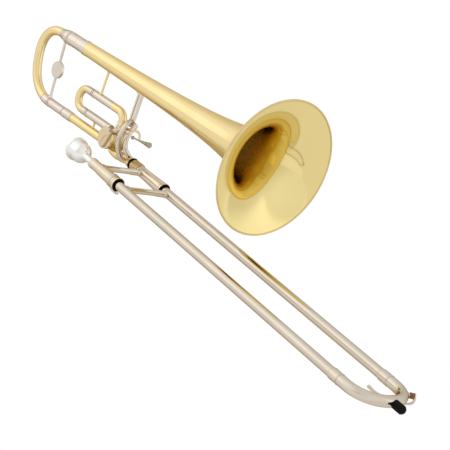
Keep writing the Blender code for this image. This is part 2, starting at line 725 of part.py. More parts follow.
def make_bell(frame):
    """The bell, from its tail in the tuning sleeve to the rolled rim."""
    stations = []
    count = 16
    length = BELL_RIM_X - BELL_START_X
    for i in range(count + 1):
        stations.append(BELL_RIM_X - length * (i / count) ** 2.3)
    outside = [(x, bell_radius(x)) for x in stations]
    inside = []
    for x, radius in outside:
        slope = BELL_FLARE_POWER * radius / (BELL_RIM_X - x + BELL_FLARE_OFFSET)
        tilt = math.atan(slope)
        inside.append((x + BELL_WALL * math.sin(tilt), radius - BELL_WALL * math.cos(tilt)))
    rim_x, rim_r = outside[0]
    bead = [(rim_x + BELL_BEAD_R * math.cos(a) - 0.3, rim_r + BELL_BEAD_R * math.sin(a))
            for a in [math.radians(d) for d in (-20, 25, 70, 115, 160, 205)]]
    profile = bead + outside[1:] + inside[:0:-1]
    profile[-1] = (rim_x + 0.2, rim_r - BELL_BEAD_R - 1.2) if inside[1][0] > rim_x else profile[-1]
    return turned_piece("bell", profile, GOLD_LACQUER, frame, (0.0, 0.0, BELL_HEIGHT), ALONG_X, FINE_ROUND)


def ringed_sleeve(start, end, bore, wall):
    """A tuning sleeve with a turned ring at the end where its slide goes in."""
    outer = bore + wall
    ring = outer + RING_RISE
    return [(end, outer), (start + RING_LENGTH, outer), (start + RING_LENGTH - 0.6, ring),
            (start + 0.6, ring), (start, outer), (start, bore), (end, bore)]


def make_tuning_sleeves(frame):
    bore = UPPER_LEG_R + GAP
    outer = bore + UPPER_SLEEVE_WALL
    band_bore = bell_radius(SLEEVE_END_X) + GAP
    band = band_bore + 0.7
    ring = outer + RING_RISE
    profile = [(SLEEVE_END_X, band), (SLEEVE_STEP_X - 0.5, band), (SLEEVE_STEP_X - 2.0, outer),
               (SLEEVE_START_X + RING_LENGTH, outer), (SLEEVE_START_X + RING_LENGTH - 0.6, ring),
               (SLEEVE_START_X + 0.6, ring), (SLEEVE_START_X, outer), (SLEEVE_START_X, bore),
               (SLEEVE_STEP_X, bore), (SLEEVE_STEP_X, band_bore), (SLEEVE_END_X, band_bore)]
    turned_piece("upper_tuning_sleeve", profile, NICKEL, frame, (0.0, 0.0, BELL_HEIGHT))
    bore = LOWER_LEG_R + GAP
    outer = bore + LOWER_SLEEVE_WALL
    ring = outer + RING_RISE
    seat = NECKPIPE_R + GAP
    neck_ring = NECK_FERRULE_R + RING_RISE
    profile = [(NECK_FERRULE_END_X, NECK_FERRULE_R), (NECK_FERRULE_START_X + RING_LENGTH, NECK_FERRULE_R),
               (NECK_FERRULE_START_X + RING_LENGTH - 0.6, neck_ring), (NECK_FERRULE_START_X, neck_ring),
               (NECK_FERRULE_START_X, outer), (SLEEVE_START_X + RING_LENGTH, outer),
               (SLEEVE_START_X + RING_LENGTH - 0.6, ring), (SLEEVE_START_X + 0.6, ring),
               (SLEEVE_START_X, outer), (SLEEVE_START_X, bore),
               (NECKPIPE_START_X - 1.0, bore), (NECKPIPE_START_X - 1.0, seat),
               (NECK_FERRULE_END_X, seat)]
    turned_piece("lower_tuning_sleeve", profile, NICKEL, frame)


def bow_point(angle):
    """A point of the tuning bow's centre line: a squared half ellipse with a slanted chord."""
    side = math.copysign(abs(math.cos(angle)) ** (2 / BOW_FULLNESS), math.cos(angle))
    z = BELL_HEIGHT / 2 * (1 + side)
    chord_x = BOW_FOOT_X + (BOW_TOP_X - BOW_FOOT_X) * z / BELL_HEIGHT
    return chord_x - BOW_DEPTH * abs(math.sin(angle)) ** (2 / BOW_FULLNESS), 0.0, z


def bow_routes():
    """The centre lines of the brass bow and of the short curved ferrule at its lower end."""
    points = [bow_point(math.pi * i / 36) for i in range(1, 36)]
    split = next(i for i, point in enumerate(points) if i > 18 and point[0] > BOW_SEAM_X)
    bow = [(BOW_TOP_X, 0.0, BELL_HEIGHT), (BOW_TOP_X - LEAD, 0.0, BELL_HEIGHT)] + points[2:split:3]
    seam = Vector(points[split])
    along = (seam - Vector(points[split - 1])).normalized()
    bow += [tuple(seam - along * (LEAD + GAP)), tuple(seam - along * GAP)]
    ferrule = [tuple(seam), tuple(seam + along * LEAD)]
    ferrule += [point for point in points[split + 1:]
                if seam.x + 2 * LEAD < point[0] < SLEEVE_START_X - LEG_SEAT]
    ferrule += [(SLEEVE_START_X - LEG_SEAT, 0.0, 0.0), (SLEEVE_START_X - GAP, 0.0, 0.0)]
    return bow, ferrule


def make_tuning_slide(frame):
    """The main tuning slide: bow, ferrules, inner legs and the brace with its round plate."""
    bow, low_route = bow_routes()
    bent_tube("tuning_bow", bow, BOW_R, TUBE_WALL, GOLD_LACQUER, frame)
    start = BOW_TOP_X + GAP
    end = SLEEVE_START_X - GAP
    wide = UPPER_LEG_R + GAP + FERRULE_RISE
    narrow = BOW_R + 0.3
    bore = UPPER_LEG_R + GAP
    seat = SLEEVE_START_X - LEG_SEAT - GAP
    profile = [(end, wide), (end - 7.0, wide), (start + 4.0, narrow + 0.5), (start, narrow),
               (start, narrow - FERRULE_RISE), (start + 4.0, narrow + 0.5 - FERRULE_RISE),
               (seat, bore - 1.2), (seat, bore), (end, bore)]
    turned_piece("upper_bow_ferrule", profile, NICKEL, frame, (0.0, 0.0, BELL_HEIGHT))
    wall = FERRULE_RISE + 0.1
    low_outer = LOWER_LEG_R + GAP + wall
    bent_tube("lower_bow_ferrule", low_route, low_outer, wall, NICKEL, frame)
    for name, radius, z in (("upper", UPPER_LEG_R, BELL_HEIGHT), ("lower", LOWER_LEG_R, 0.0)):
        leg = tube_profile(SLEEVE_START_X - LEG_SEAT + 1.0, SLEEVE_START_X + LEG_INSERTION, radius,
                           radius - TUBE_WALL)
        turned_piece(name + "_inner_leg", leg, NICKEL, frame, (0.0, 0.0, z))

    foot_point = Vector((TUNING_BRACE_FOOT_X, 0.0, low_outer - 1.0))
    top_point = Vector((TUNING_BRACE_TOP_X, 0.0, BELL_HEIGHT - BOW_R))
    foot = 0.7
    radii = [TUNING_BRACE_R + foot, TUNING_BRACE_R + foot, TUNING_BRACE_R, TUNING_BRACE_R,
             TUNING_BRACE_R + foot, TUNING_BRACE_R + foot]
    points = [tuple(foot_point.lerp(top_point, share)) for share in (0.0, 0.03, 0.05, 0.93, 0.95, 1.0)]
    brace = rod_piece("tuning_brace", points, TUNING_BRACE_R, NICKEL, frame, radii)
    half = MEDALLION_THICKNESS / 2
    plate = [(half, 0.0), (half, MEDALLION_R - 1.0), (half - 1.0, MEDALLION_R), (-half + 1.0, MEDALLION_R),
             (-half, MEDALLION_R - 1.0), (-half, 0.0)]
    medallion = revolve("medallion_blank", plate, CUTTERS, 24)
    middle = foot_point.lerp(top_point, 0.49)
    medallion = as_mesh(place(medallion, frame, tuple(middle), ALONG_Y))
    combine(brace, medallion, "UNION")
    upper_clear = [(radius_x, radius + GAP) for radius_x, radius in profile[:4]]
    upper_clear = [(-20.0, 0.0), (-20.0, wide + GAP)] + upper_clear[1:] + [(start, 0.0)]
    upper_cutter = turned_tool("brace_upper_clearance", upper_clear, frame, (0.0, 0.0, BELL_HEIGHT))
    combine(brace, upper_cutter, "DIFFERENCE")
    combine(brace, rod_tool("brace_lower_clearance", low_route + [(-20.0, 0.0, 0.0)], low_outer + GAP, frame,
                            sides=ROUND), "DIFFERENCE")


def neck_stub_x():
    """Where the neckpipe meets the casing's port."""
    return VALVE_X - math.sqrt(CASING_R ** 2 - VALVE_Z ** 2) - PORT_STUB


def loop_lower_z():
    """The lower loop leg mirrors the neckpipe about the valve's axis."""
    return 2 * VALVE_Z


def make_neck(frame):
    end = neck_stub_x() - GAP
    turned_piece("neckpipe", tube_profile(NECKPIPE_START_X, end, NECKPIPE_R, NECKPIPE_R - TUBE_WALL),
                 GOLD_LACQUER, frame)


def port(name, frame, start, direction, bore_r, reach):
    """A tube stub on the valve casing and the cutter for its bore."""
    blank = rod_tool(name + "_blank", [start, tuple(Vector(start) + Vector(direction) * reach)],
                     bore_r + PORT_WALL, frame, sides=ROUND)
    far = tuple(Vector(start) - Vector(direction) * 2.0)
    bore = rod_tool(name + "_bore", [far, tuple(Vector(start) + Vector(direction) * (reach + 3.0))],
                    bore_r, frame, sides=ROUND)
    return blank, bore


def gooseneck_start():
    angle = math.radians(-42.0)
    reach = CASING_R + 3.0
    return (VALVE_X + reach * math.cos(angle), 0.0, VALVE_Z + reach * math.sin(angle)), angle


def make_valve_casing(frame):
    """A brass drum with four ports: neckpipe, both loop legs and the gooseneck."""
    half = CASING_HALF_LENGTH
    rim = CASING_R + 0.8
    profile = [(half, 0.0), (half, rim), (half - 2.5, rim), (half - 3.2, CASING_R), (-half + 3.2, CASING_R),
               (-half + 2.5, rim), (-half, rim), (-half, 0.0)]
    casing = turned_piece("valve_casing", profile, GOLD_LACQUER, frame, (VALVE_X, 0.0, VALVE_Z), ALONG_Y, 24)
    casing = finished(as_mesh(casing), GOLD_LACQUER)
    core = turned_tool("casing_core", solid_profile(-half - 1.0, half + 1.0, CASING_BORE_R), frame,
                       (VALVE_X, 0.0, VALVE_Z), ALONG_Y, 24)
    goose, angle = gooseneck_start()
    inward = Vector((math.cos(angle), 0.0, math.sin(angle)))
    goose_root = tuple(Vector(goose) - inward * 9.0)
    depth = CASING_BORE_R - 4.0
    stubs = [
        port("neck_port", frame, (VALVE_X - depth, 0.0, 0.0), (-1, 0, 0), NECKPIPE_R - TUBE_WALL,
             VALVE_X - depth - neck_stub_x()),
        port("loop_port", frame, (VALVE_X - depth, 0.0, loop_lower_z()), (-1, 0, 0), LOOP_LEG_R - TUBE_WALL,
             VALVE_X - depth - neck_stub_x()),
        port("elbow_port", frame, (ELBOW_X, 0.0, VALVE_Z + depth), (0, 0, 1), LOOP_LEG_R - TUBE_WALL,
             CASING_R + 5.0 - depth),
        port("gooseneck_port", frame, goose_root, tuple(inward), GOOSENECK_R - TUBE_WALL, 9.0 - GAP),
    ]
    for blank, _ in stubs:
        combine(casing, blank, "UNION", "MANIFOLD")
    combine(casing, core, "DIFFERENCE", "MANIFOLD")
    for _, bore in stubs:
        combine(casing, bore, "DIFFERENCE", "MANIFOLD")
    return casing


def make_rotor(frame):
    """The rotor with its two curved passages, its spindle and the crank that turns it."""
    half = CASING_HALF_LENGTH - GAP
    r = CASING_BORE_R - ROTOR_CLEARANCE
    front = -(CASING_HALF_LENGTH + CAP_THICKNESS + 2 * GAP)
    spindle_end = front - CRANK_THICKNESS
    stem_end = spindle_end + CRANK_THICKNESS / 2
    profile = [(half, 0.0), (half, r), (-half, r), (-half, SPINDLE_R), (stem_end, SPINDLE_R), (stem_end, 0.0)]
    rotor = turned_piece("valve_rotor", profile, STEEL, frame, (VALVE_X, 0.0, VALVE_Z), ALONG_Y, 24)
    rotor = finished(as_mesh(rotor), STEEL)
    for name, turn in (("main_passage", 0.0), ("loop_passage", math.pi)):
        reach = r * 1.45
        center = (VALVE_X, VALVE_Z - math.cos(turn) * reach)
        middle = math.pi / 2 if turn == 0.0 else -math.pi / 2
        sweep = arc(center, reach - PASSAGE_OFFSET, middle - 1.1, middle + 1.1, 9)
        points = [(x, 0.0, z) for x, z in sweep]
        combine(rotor, rod_tool(name, points, LOOP_LEG_R - TUBE_WALL, frame, sides=12), "DIFFERENCE")

    angle = crank_angle()
    pin = (VALVE_X + CRANK_R * math.cos(angle), VALVE_Z + CRANK_R * math.sin(angle))
    outline = ribbon([(VALVE_X - 2.0 * math.cos(angle), VALVE_Z - 2.0 * math.sin(angle)), pin], 3.4)
    crank = plate_outline("crank_blank", outline, CRANK_THICKNESS, CUTTERS)
    crank.parent = frame
    crank.location = Vector((0.0, (front - CRANK_THICKNESS / 2), 0.0)) * MM
    crank = as_mesh(crank)
    combine(rotor, crank, "UNION")
    pin_end = spindle_end - LEVER_SLOT_DEPTH + 0.1
    pin_tool = turned_tool("crank_pin", solid_profile(pin_end, spindle_end + 0.5, CRANK_PIN_R), frame,
                           (pin[0], 0.0, pin[1]), ALONG_Y, ROD_ROUND)
    combine(rotor, pin_tool, "UNION")
    return rotor


def lever_axis_direction():
    """From the valve's spindle to the lever's pivot, as a unit (x, z) pair."""
    along = Vector((LEVER_PIVOT[0] - VALVE_X, LEVER_PIVOT[1] - VALVE_Z))
    return along.normalized()


def crank_angle():
    """The crank points away from the lever's pivot at mid stroke, so it rests half a stroke before that."""
    along = lever_axis_direction()
    return math.atan2(-along.y, -along.x) + ROTOR_TURN / 2


def lever_layer():
    """Where the lever's plate lies: just in front of the crank."""
    crank_front = CASING_HALF_LENGTH + CAP_THICKNESS + 2 * GAP + CRANK_THICKNESS
    return -crank_front - GAP - LEVER_THICKNESS / 2 - 0.15


def make_valve_caps(frame):
    """The bearing plate at the front, that shows as a plain disc, and the screwed cap behind."""
    start = CASING_HALF_LENGTH + GAP
    front = [(-start, SPINDLE_R + GAP), (-start, CAP_R), (-start - CAP_THICKNESS + 1.0, CAP_R),
             (-start - CAP_THICKNESS, CAP_R - 1.0), (-start - CAP_THICKNESS, SPINDLE_R + GAP)]
    turned_piece("valve_front_plate", front, NICKEL, frame, (VALVE_X, 0.0, VALVE_Z), ALONG_Y, 24)
    back = [(start + CAP_THICKNESS + 1.2, 0.0), (start + CAP_THICKNESS + 1.2, 4.0),
            (start + CAP_THICKNESS, 5.0), (start + CAP_THICKNESS, CAP_R - 1.2),
            (start + CAP_THICKNESS - 1.2, CAP_R), (start, CAP_R), (start, 0.0)]
    turned_piece("valve_back_cap", back, NICKEL, frame, (VALVE_X, 0.0, VALVE_Z), ALONG_Y, 24)


def make_lever(frame):
    """The thumb lever: a forked plate on a pivot post, a curved arm and a spoon for the thumb."""
    y = lever_layer()
    along = lever_axis_direction()
    reach = math.hypot(LEVER_PIVOT[0] - VALVE_X, LEVER_PIVOT[1] - VALVE_Z)
    fork_turn = LEVER_TURN / 2
    toward = Vector((-along.x, -along.y))
    turned = Vector((toward.x * math.cos(fork_turn) - toward.y * math.sin(fork_turn),
                     toward.x * math.sin(fork_turn) + toward.y * math.cos(fork_turn)))
    pin_reach = reach + CRANK_R
    slot_start = Vector(LEVER_PIVOT) + turned * (pin_reach - CRANK_R * 0.62)
    slot_end = Vector(LEVER_PIVOT) + turned * (pin_reach + CRANK_R * 0.22)
    neck = slot_start - turned * (CRANK_PIN_R + LEVER_SLOT_CLEARANCE + LEVER_HALF_WIDTH + 0.6)
    arm = smooth_route([tuple(Vector(LEVER_PIVOT))] + list(LEVER_ROUTE), 2)
    route = [tuple(neck)] + arm
    slot_half = CRANK_PIN_R + LEVER_SLOT_CLEARANCE
    outline = [(x - LEVER_PIVOT[0], z - LEVER_PIVOT[1]) for x, z in ribbon(route, LEVER_HALF_WIDTH)]
    plate = plate_outline("thumb_lever", outline, LEVER_THICKNESS, PARTS)
    plate.parent = frame
    plate.location = Vector((LEVER_PIVOT[0], y, LEVER_PIVOT[1])) * MM
    plate = finished(as_mesh(plate), NICKEL)
    # The head is a wide leaf that hides the crank's pin, with the slot for it in its back
    head_back = y + LEVER_THICKNESS / 2 + 0.15
    head_start = slot_start + (Vector(LEVER_PIVOT) - slot_start) * 0.55
    head = plate_outline("lever_head", ribbon([tuple(head_start), tuple(slot_end)], LEVER_HEAD_HALF_WIDTH),
                         LEVER_HEAD_THICKNESS, CUTTERS)
    head.parent = frame
    head.location = Vector((0.0, head_back - LEVER_HEAD_THICKNESS / 2, 0.0)) * MM
    combine(plate, as_mesh(head), "UNION")
    slot = plate_outline("lever_slot", ribbon([tuple(slot_start), tuple(slot_end)], slot_half),
                         2 * LEVER_SLOT_DEPTH, CUTTERS)
    slot.parent = frame
    slot.location = Vector((0.0, head_back, 0.0)) * MM
    combine(plate, as_mesh(slot), "DIFFERENCE")
    barrel = turned_tool("lever_barrel", solid_profile(-LEVER_THICKNESS / 2 - 0.8, LEVER_THICKNESS / 2 + 0.8,
                                                       LEVER_BARREL_R), frame,
                         (LEVER_PIVOT[0], y, LEVER_PIVOT[1]), ALONG_Y, 16)
    combine(plate, barrel, "UNION")
    start = (TOUCH_START[0], y, TOUCH_START[1])
    end = (TOUCH_END[0], y, TOUCH_END[1])
    points = [tuple(Vector(start).lerp(Vector(end), s)) for s in (0.0, 0.04, 0.08, 0.5, 0.8, 1.0)]
    radii = [TOUCH_ROD_R + extra for extra in (1.0, 1.3, 0.0, 0.0, 0.6, 1.2)]
    combine(plate, rod_tool("touch_rod", points, TOUCH_ROD_R, frame, radii), "UNION")
    mesh = bpy.data.meshes.new("spoon_blank")
    work = bmesh.new()
    bmesh.ops.create_uvsphere(work, u_segments=16, v_segments=8, radius=1.0,
                              matrix=Matrix.Diagonal((*(Vector(SPOON_HALF) * MM), 1.0)))
    work.to_mesh(mesh)
    work.free()
    lean = math.atan2(TOUCH_END[1] - TOUCH_START[1], TOUCH_END[0] - TOUCH_START[0])
    spoon = place(raw_object("spoon_blank", mesh, CUTTERS), frame,
                  (end[0] + SPOON_HALF[0] * 0.6, end[1], end[2] + 1.2), (0.0, -lean, 0.0))
    combine(plate, spoon, "UNION")
    bore = turned_tool("lever_bore", solid_profile(-8.0, 8.0, LEVER_SCREW_R + GAP), frame,
                       (LEVER_PIVOT[0], y, LEVER_PIVOT[1]), ALONG_Y, ROD_ROUND)
    combine(plate, bore, "DIFFERENCE")

    # Post on the casing that carries the lever, with its screw
    back = y + LEVER_THICKNESS / 2 + 0.8 + GAP
    foot_angle = math.atan2(LEVER_PIVOT[1] - VALVE_Z, LEVER_PIVOT[0] - VALVE_X)
    foot = (VALVE_X + CASING_R * math.cos(foot_angle), POST_FOOT_Y, VALVE_Z + CASING_R * math.sin(foot_angle))
    post = rod_piece("lever_post", [(LEVER_PIVOT[0], back, LEVER_PIVOT[1]),
                                    (LEVER_PIVOT[0], POST_FOOT_Y - 2.0, LEVER_PIVOT[1]),
                                    (LEVER_PIVOT[0] - 0.8, POST_FOOT_Y, LEVER_PIVOT[1] - 1.0), foot],
                     LEVER_BARREL_R, NICKEL, frame)
    casing_clear = turned_tool("post_casing_clearance", solid_profile(-CASING_HALF_LENGTH - 0.5,
                                                                      CASING_HALF_LENGTH + 0.5,
                                                                      CASING_R + 0.8 + GAP), frame,
                               (VALVE_X, 0.0, VALVE_Z), ALONG_Y, 24)
    plate_space = solid_profile(-CASING_HALF_LENGTH - CAP_THICKNESS - 1.0, -CASING_HALF_LENGTH + 1.0,
                                CAP_R + GAP)
    plate_clear = turned_tool("post_plate_clearance", plate_space, frame, (VALVE_X, 0.0, VALVE_Z),
                              ALONG_Y, 24)
    combine(post, casing_clear, "DIFFERENCE")
    combine(post, plate_clear, "DIFFERENCE")
    screw_place = (LEVER_PIVOT[0], 0.0, LEVER_PIVOT[1])
    screw_bore = turned_tool("post_screw_bore", solid_profile(back - 2.0, back + 6.3, LEVER_SCREW_R + GAP),
                             frame, screw_place, ALONG_Y, ROD_ROUND)
    combine(post, screw_bore, "DIFFERENCE")
    head_y = y - LEVER_THICKNESS / 2 - 0.8 - GAP
    head_r = LEVER_SCREW_R + 1.3
    screw = [(back + 6.0, 0.0), (back + 6.0, LEVER_SCREW_R), (head_y, LEVER_SCREW_R), (head_y, head_r),
             (head_y - 1.4, head_r), (head_y - 1.4, 0.0)]
    turned_piece("lever_screw", screw, STEEL, frame, screw_place, ALONG_Y, ROD_ROUND)


def make_valve_loop(frame):
    """The valve loop's fixed tubes: two sleeves, the elbow and their small braces."""
    low = loop_lower_z()
    bore = LOOP_LEG_R + GAP
    turned_piece("loop_upper_sleeve", ringed_sleeve(LOOP_RING_X, LOOP_UPPER_END_X, bore, LOOP_SLEEVE_WALL),
                 NICKEL, frame, (0.0, 0.0, LOOP_UPPER_Z))
    turned_piece("loop_lower_sleeve",
                 ringed_sleeve(LOOP_RING_X, neck_stub_x() - GAP, bore, LOOP_SLEEVE_WALL), NICKEL, frame,
                 (0.0, 0.0, low))
    bend = arc((ELBOW_X - ELBOW_BEND_R, LOOP_UPPER_Z - ELBOW_BEND_R), ELBOW_BEND_R, math.pi / 2, 0.0, 7)
    elbow_end = VALVE_Z + CASING_R + 5.0 + GAP
    points = [(LOOP_UPPER_END_X + GAP, 0.0, LOOP_UPPER_Z)] + [(x, 0.0, z) for x, z in bend]
    points.append((ELBOW_X, 0.0, elbow_end))
    bent_tube("loop_elbow", points, ELBOW_R, ELBOW_R - LOOP_LEG_R + TUBE_WALL, GOLD_LACQUER, frame)

    bell_side = BELL_HEIGHT - bell_radius(LOOP_BRACE_X) - GAP
    sleeve_side = LOOP_UPPER_Z + bore + LOOP_SLEEVE_WALL + GAP
    foot_brace("loop_brace", frame, LOOP_BRACE_X, 0.0, sleeve_side, bell_side, THIN_BRACE_R, 1.6,
               GOLD_LACQUER)
    strut_top = low - bore - LOOP_SLEEVE_WALL - GAP
    foot_brace("neck_strut", frame, STRUT_X, 0.0, NECKPIPE_R + GAP, strut_top, STRUT_R, 1.0, GOLD_LACQUER)


def foot_brace(name, frame, x, y, low, high, radius, foot, finish):
    """An upright round brace between two tubes, with a small flange at each end."""
    span = high - low
    flange = min(1.2, span * 0.15)
    neck = min(2.6, span * 0.3)
    points = [(x, y, low + z) for z in (0.0, flange, neck, span - neck, span - flange, span)]
    radii = [radius + foot, radius + foot, radius, radius, radius + foot, radius + foot]
    return rod_piece(name, points, radius, finish, frame, radii)


def make_loop_slide(frame):
    """The loop's own tuning slide: a small bow, two ferrules and two inner legs."""
    low = loop_lower_z()
    half = (LOOP_UPPER_Z - low) / 2
    middle = (LOOP_UPPER_Z + low) / 2
    bend = arc((LOOP_BOW_X, middle), half, math.pi / 2, math.pi * 3 / 2, 9)
    bow = [(LOOP_BOW_X + 2.0, 0.0, LOOP_UPPER_Z)] + [(x, 0.0, z) for x, z in bend]
    bow.append((LOOP_BOW_X + 2.0, 0.0, low))
    bent_tube("loop_bow", bow, LOOP_LEG_R + 0.5, TUBE_WALL, GOLD_LACQUER, frame)
    start = LOOP_BOW_X + 2.0 + GAP
    for name, z in (("upper", LOOP_UPPER_Z), ("lower", low)):
        ferrule = tube_profile(start, LOOP_RING_X - GAP, LOOP_LEG_R + GAP + 0.5, LOOP_LEG_R + GAP)
        turned_piece("loop_ferrule_" + name, ferrule, NICKEL, frame, (0.0, 0.0, z))
        leg = tube_profile(start, LOOP_RING_X + LOOP_LEG_LENGTH, LOOP_LEG_R, LOOP_LEG_R - TUBE_WALL)
        turned_piece("loop_leg_" + name, leg, NICKEL, frame, (0.0, 0.0, z))


def receiver_in_frame(frame, x):
    """A place on the bell-side slide leg, given in the bell section's frame."""
    bpy.context.view_layer.update()
    world = Vector((x, LEG_Y, 0.0)) * MM
    return frame.matrix_world.inverted() @ world / MM


def gooseneck_route(frame):
    """From the valve to the slide receiver, in line with the slide at its end."""
    start, angle = gooseneck_start()
    end_x = NUT_START_X - RECEIVER_LENGTH
    end = receiver_in_frame(frame, end_x - GAP)
    ahead = (receiver_in_frame(frame, end_x + 10.0) - end).normalized()
    away = Vector((math.cos(angle), 0.0, math.sin(angle)))
    first = Vector(start)
    reach = (end - first).length * 0.42
    points = []
    count = 7
    for i in range(count + 1):
        t = i / count
        a, b, c, d = first, first + away * reach, end - ahead * reach, end
        points.append(tuple(a * (1 - t) ** 3 + b * 3 * t * (1 - t) ** 2
                            + c * 3 * t * t * (1 - t) + d * t ** 3))
    points.insert(1, tuple(first + away * LEAD))
    points.insert(-1, tuple(end - ahead * LEAD))
    return points


def make_gooseneck(frame):
    bent_tube("gooseneck", gooseneck_route(frame), GOOSENECK_R, TUBE_WALL, GOLD_LACQUER, frame)


def make_receiver():
    """The receiver that takes the slide's tenon, its rubber ring and the nut that locks them."""
    start = NUT_START_X - RECEIVER_LENGTH
    bore = TENON_R + GAP
    tenon_end = NUT_END_X - 9.0
    profile = [(tenon_end + 6.0, bore + 0.9), (NUT_START_X + 1.0, bore + 0.9),
               (NUT_START_X + 1.0, RECEIVER_R - 0.3), (NUT_START_X - 7.0, RECEIVER_R),
               (start + 1.0, GOOSENECK_R + 1.0), (start, GOOSENECK_R + 0.4),
               (start, GOOSENECK_R - TUBE_WALL), (tenon_end - 3.0, GOOSENECK_R - TUBE_WALL),
               (tenon_end - 3.0, bore), (tenon_end + 6.0, bore)]
    turned_piece("slide_receiver", profile, GOLD_LACQUER, None, BELL_LEG)
    ring_inner = RECEIVER_R + GAP
    turned_piece("receiver_ring", tube_profile(RECEIVER_RING_X - 1.5, RECEIVER_RING_X + 1.5, ring_inner + 1.1,
                                               ring_inner), RUBBER, None, BELL_LEG)
    inner = bore + 0.9 + GAP
    nut_start = NUT_START_X + 1.0 + GAP
    nut = [(NUT_END_X, NUT_R - 0.8)]
    grooves = 3
    for i in range(grooves):
        top = NUT_END_X - 1.0 - i * 5.4
        nut += [(top, NUT_R), (top - 3.6, NUT_R), (top - 4.2, NUT_R - 0.6), (top - 4.9, NUT_R - 0.6)]
    nut += [(nut_start + 0.4, NUT_R - 0.2), (nut_start, NUT_R - 0.8), (nut_start, inner),
            (NUT_END_X - 1.8, inner), (NUT_END_X - 1.8, TENON_R + GAP), (NUT_END_X, TENON_R + GAP)]
    turned_piece("coupling_nut", nut, GOLD_LACQUER, None, BELL_LEG)


def make_bell_brace(frame):
    """The wide bell brace with the cross socket at its foot."""
    top = BELL_HEIGHT - bell_radius(BRACE_X + BRACE_WIDTH / 2) - GAP
    height = top - SOCKET_Z
    blank = box_tool("bell_brace", frame, (BRACE_X, 0.0, SOCKET_Z + height / 2),
                     (BRACE_WIDTH, BRACE_THICKNESS, height))
    CUTTERS.objects.unlink(blank)
    PARTS.objects.link(blank)
    bevel = blank.modifiers.new("Edges", "BEVEL")
    bevel.width = 1.4 * MM
    bevel.segments = 2
    brace = finished(as_mesh(blank), NICKEL)
    middle_x = BRACE_X + SOCKET_OFFSET_X
    ends = [(middle_x - SOCKET_LENGTH / 2, 0.0, SOCKET_Z), (middle_x + SOCKET_LENGTH / 2, 0.0, SOCKET_Z)]
    combine(brace, rod_tool("socket_blank", ends, SOCKET_R, frame, sides=ROUND), "UNION")
    flange = box_tool("brace_flange", frame, (BRACE_X, 0.0, top + 0.4),
                      (BRACE_WIDTH + 5.0, BRACE_THICKNESS + 3.0, 3.0))
    combine(brace, flange, "UNION")
    span = BRACE_WIDTH * 2
    bell_clear = turned_tool("brace_bell_clearance", [(BRACE_X + span, bell_radius(BRACE_X + span) + 2 * GAP),
                                                      (BRACE_X - span, bell_radius(BRACE_X - span) + 2 * GAP),
                                                      (BRACE_X - span, 0.0), (BRACE_X + span, 0.0)], frame,
                             (0.0, 0.0, BELL_HEIGHT), ALONG_X, FINE_ROUND)
    combine(brace, bell_clear, "DIFFERENCE")
    reach = SOCKET_LENGTH / 2 + 2 * GAP
    clear_ends = [(middle_x - reach, 0.0, SOCKET_Z), (middle_x + reach, 0.0, SOCKET_Z)]
    for name, places in (("rear_guard_bar", REAR_GUARD), ("front_guard_bar", FRONT_GUARD)):
        bar = rod_piece(name, smooth_route(places, 2), GUARD_R, NICKEL, frame)
        combine(bar, rod_tool(name + "_socket_clearance", clear_ends, SOCKET_R + GAP, frame, sides=ROUND),
                "DIFFERENCE")
        combine(bar, box_tool(name + "_brace_clearance", frame, (BRACE_X, 0.0, SOCKET_Z + height / 2),
                              (BRACE_WIDTH + 2 * GAP, BRACE_THICKNESS + 2 * GAP, height)), "DIFFERENCE")
        neck_end = tuple(receiver_in_frame(frame, NUT_START_X - RECEIVER_LENGTH - GAP))
        neck = rod_tool(name + "_neck_clearance", gooseneck_route(frame)[:-1] + [neck_end], GOOSENECK_R + GAP,
                        frame, sides=ROUND)
        combine(bar, neck, "DIFFERENCE")
        receiver_space = solid_profile(NUT_START_X - RECEIVER_LENGTH - 1.0, NUT_END_X, RECEIVER_R + 2 * GAP)
        receiver = turned_tool(name + "_receiver_clearance", receiver_space, None, BELL_LEG)
        combine(bar, receiver, "DIFFERENCE")


def main():
    make_inner_slide()
    crook = make_outer_slide()
    crook.name = "end_crook"
    make_water_key(crook)
    make_slide_lock()
    make_mouthpiece()
    frame = make_bell_frame()
    make_bell(frame)
    make_tuning_sleeves(frame)
    make_tuning_slide(frame)
    make_neck(frame)
    make_valve_casing(frame)
    make_rotor(frame)
    make_valve_caps(frame)
    make_lever(frame)
    make_valve_loop(frame)
    make_loop_slide(frame)
    make_gooseneck(frame)
    make_receiver()
    make_bell_brace(frame)
    bpy.context.view_layer.update()


main()
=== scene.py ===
import math

import bmesh
import bpy
from bpy.props import FloatProperty, FloatVectorProperty, IntProperty, PointerProperty
from mathutils import Euler, Matrix, Vector


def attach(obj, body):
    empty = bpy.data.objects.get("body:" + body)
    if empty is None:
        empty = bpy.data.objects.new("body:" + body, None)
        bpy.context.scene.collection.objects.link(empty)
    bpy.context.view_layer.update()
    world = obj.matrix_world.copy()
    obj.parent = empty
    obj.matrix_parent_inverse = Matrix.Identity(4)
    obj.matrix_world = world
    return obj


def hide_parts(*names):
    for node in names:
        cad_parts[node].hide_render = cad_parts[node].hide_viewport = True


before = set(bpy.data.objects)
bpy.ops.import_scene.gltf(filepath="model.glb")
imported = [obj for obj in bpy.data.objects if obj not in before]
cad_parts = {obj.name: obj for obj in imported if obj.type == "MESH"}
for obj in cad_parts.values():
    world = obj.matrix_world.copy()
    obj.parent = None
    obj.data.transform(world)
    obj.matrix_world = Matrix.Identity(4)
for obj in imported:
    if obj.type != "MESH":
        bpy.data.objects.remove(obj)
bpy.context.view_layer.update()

bl_info = {
    "name": "Tenor Trombone",
    "version": (1, 0, 0),
    "blender": (4, 5, 0),
    "location": "3D View > Sidebar > Trombone",
    "description": "Dresses the frame of a compact tenor trombone with a rotary valve",
    "category": "Object",
}

MM = 0.001


# Sizes and colours that a user would change


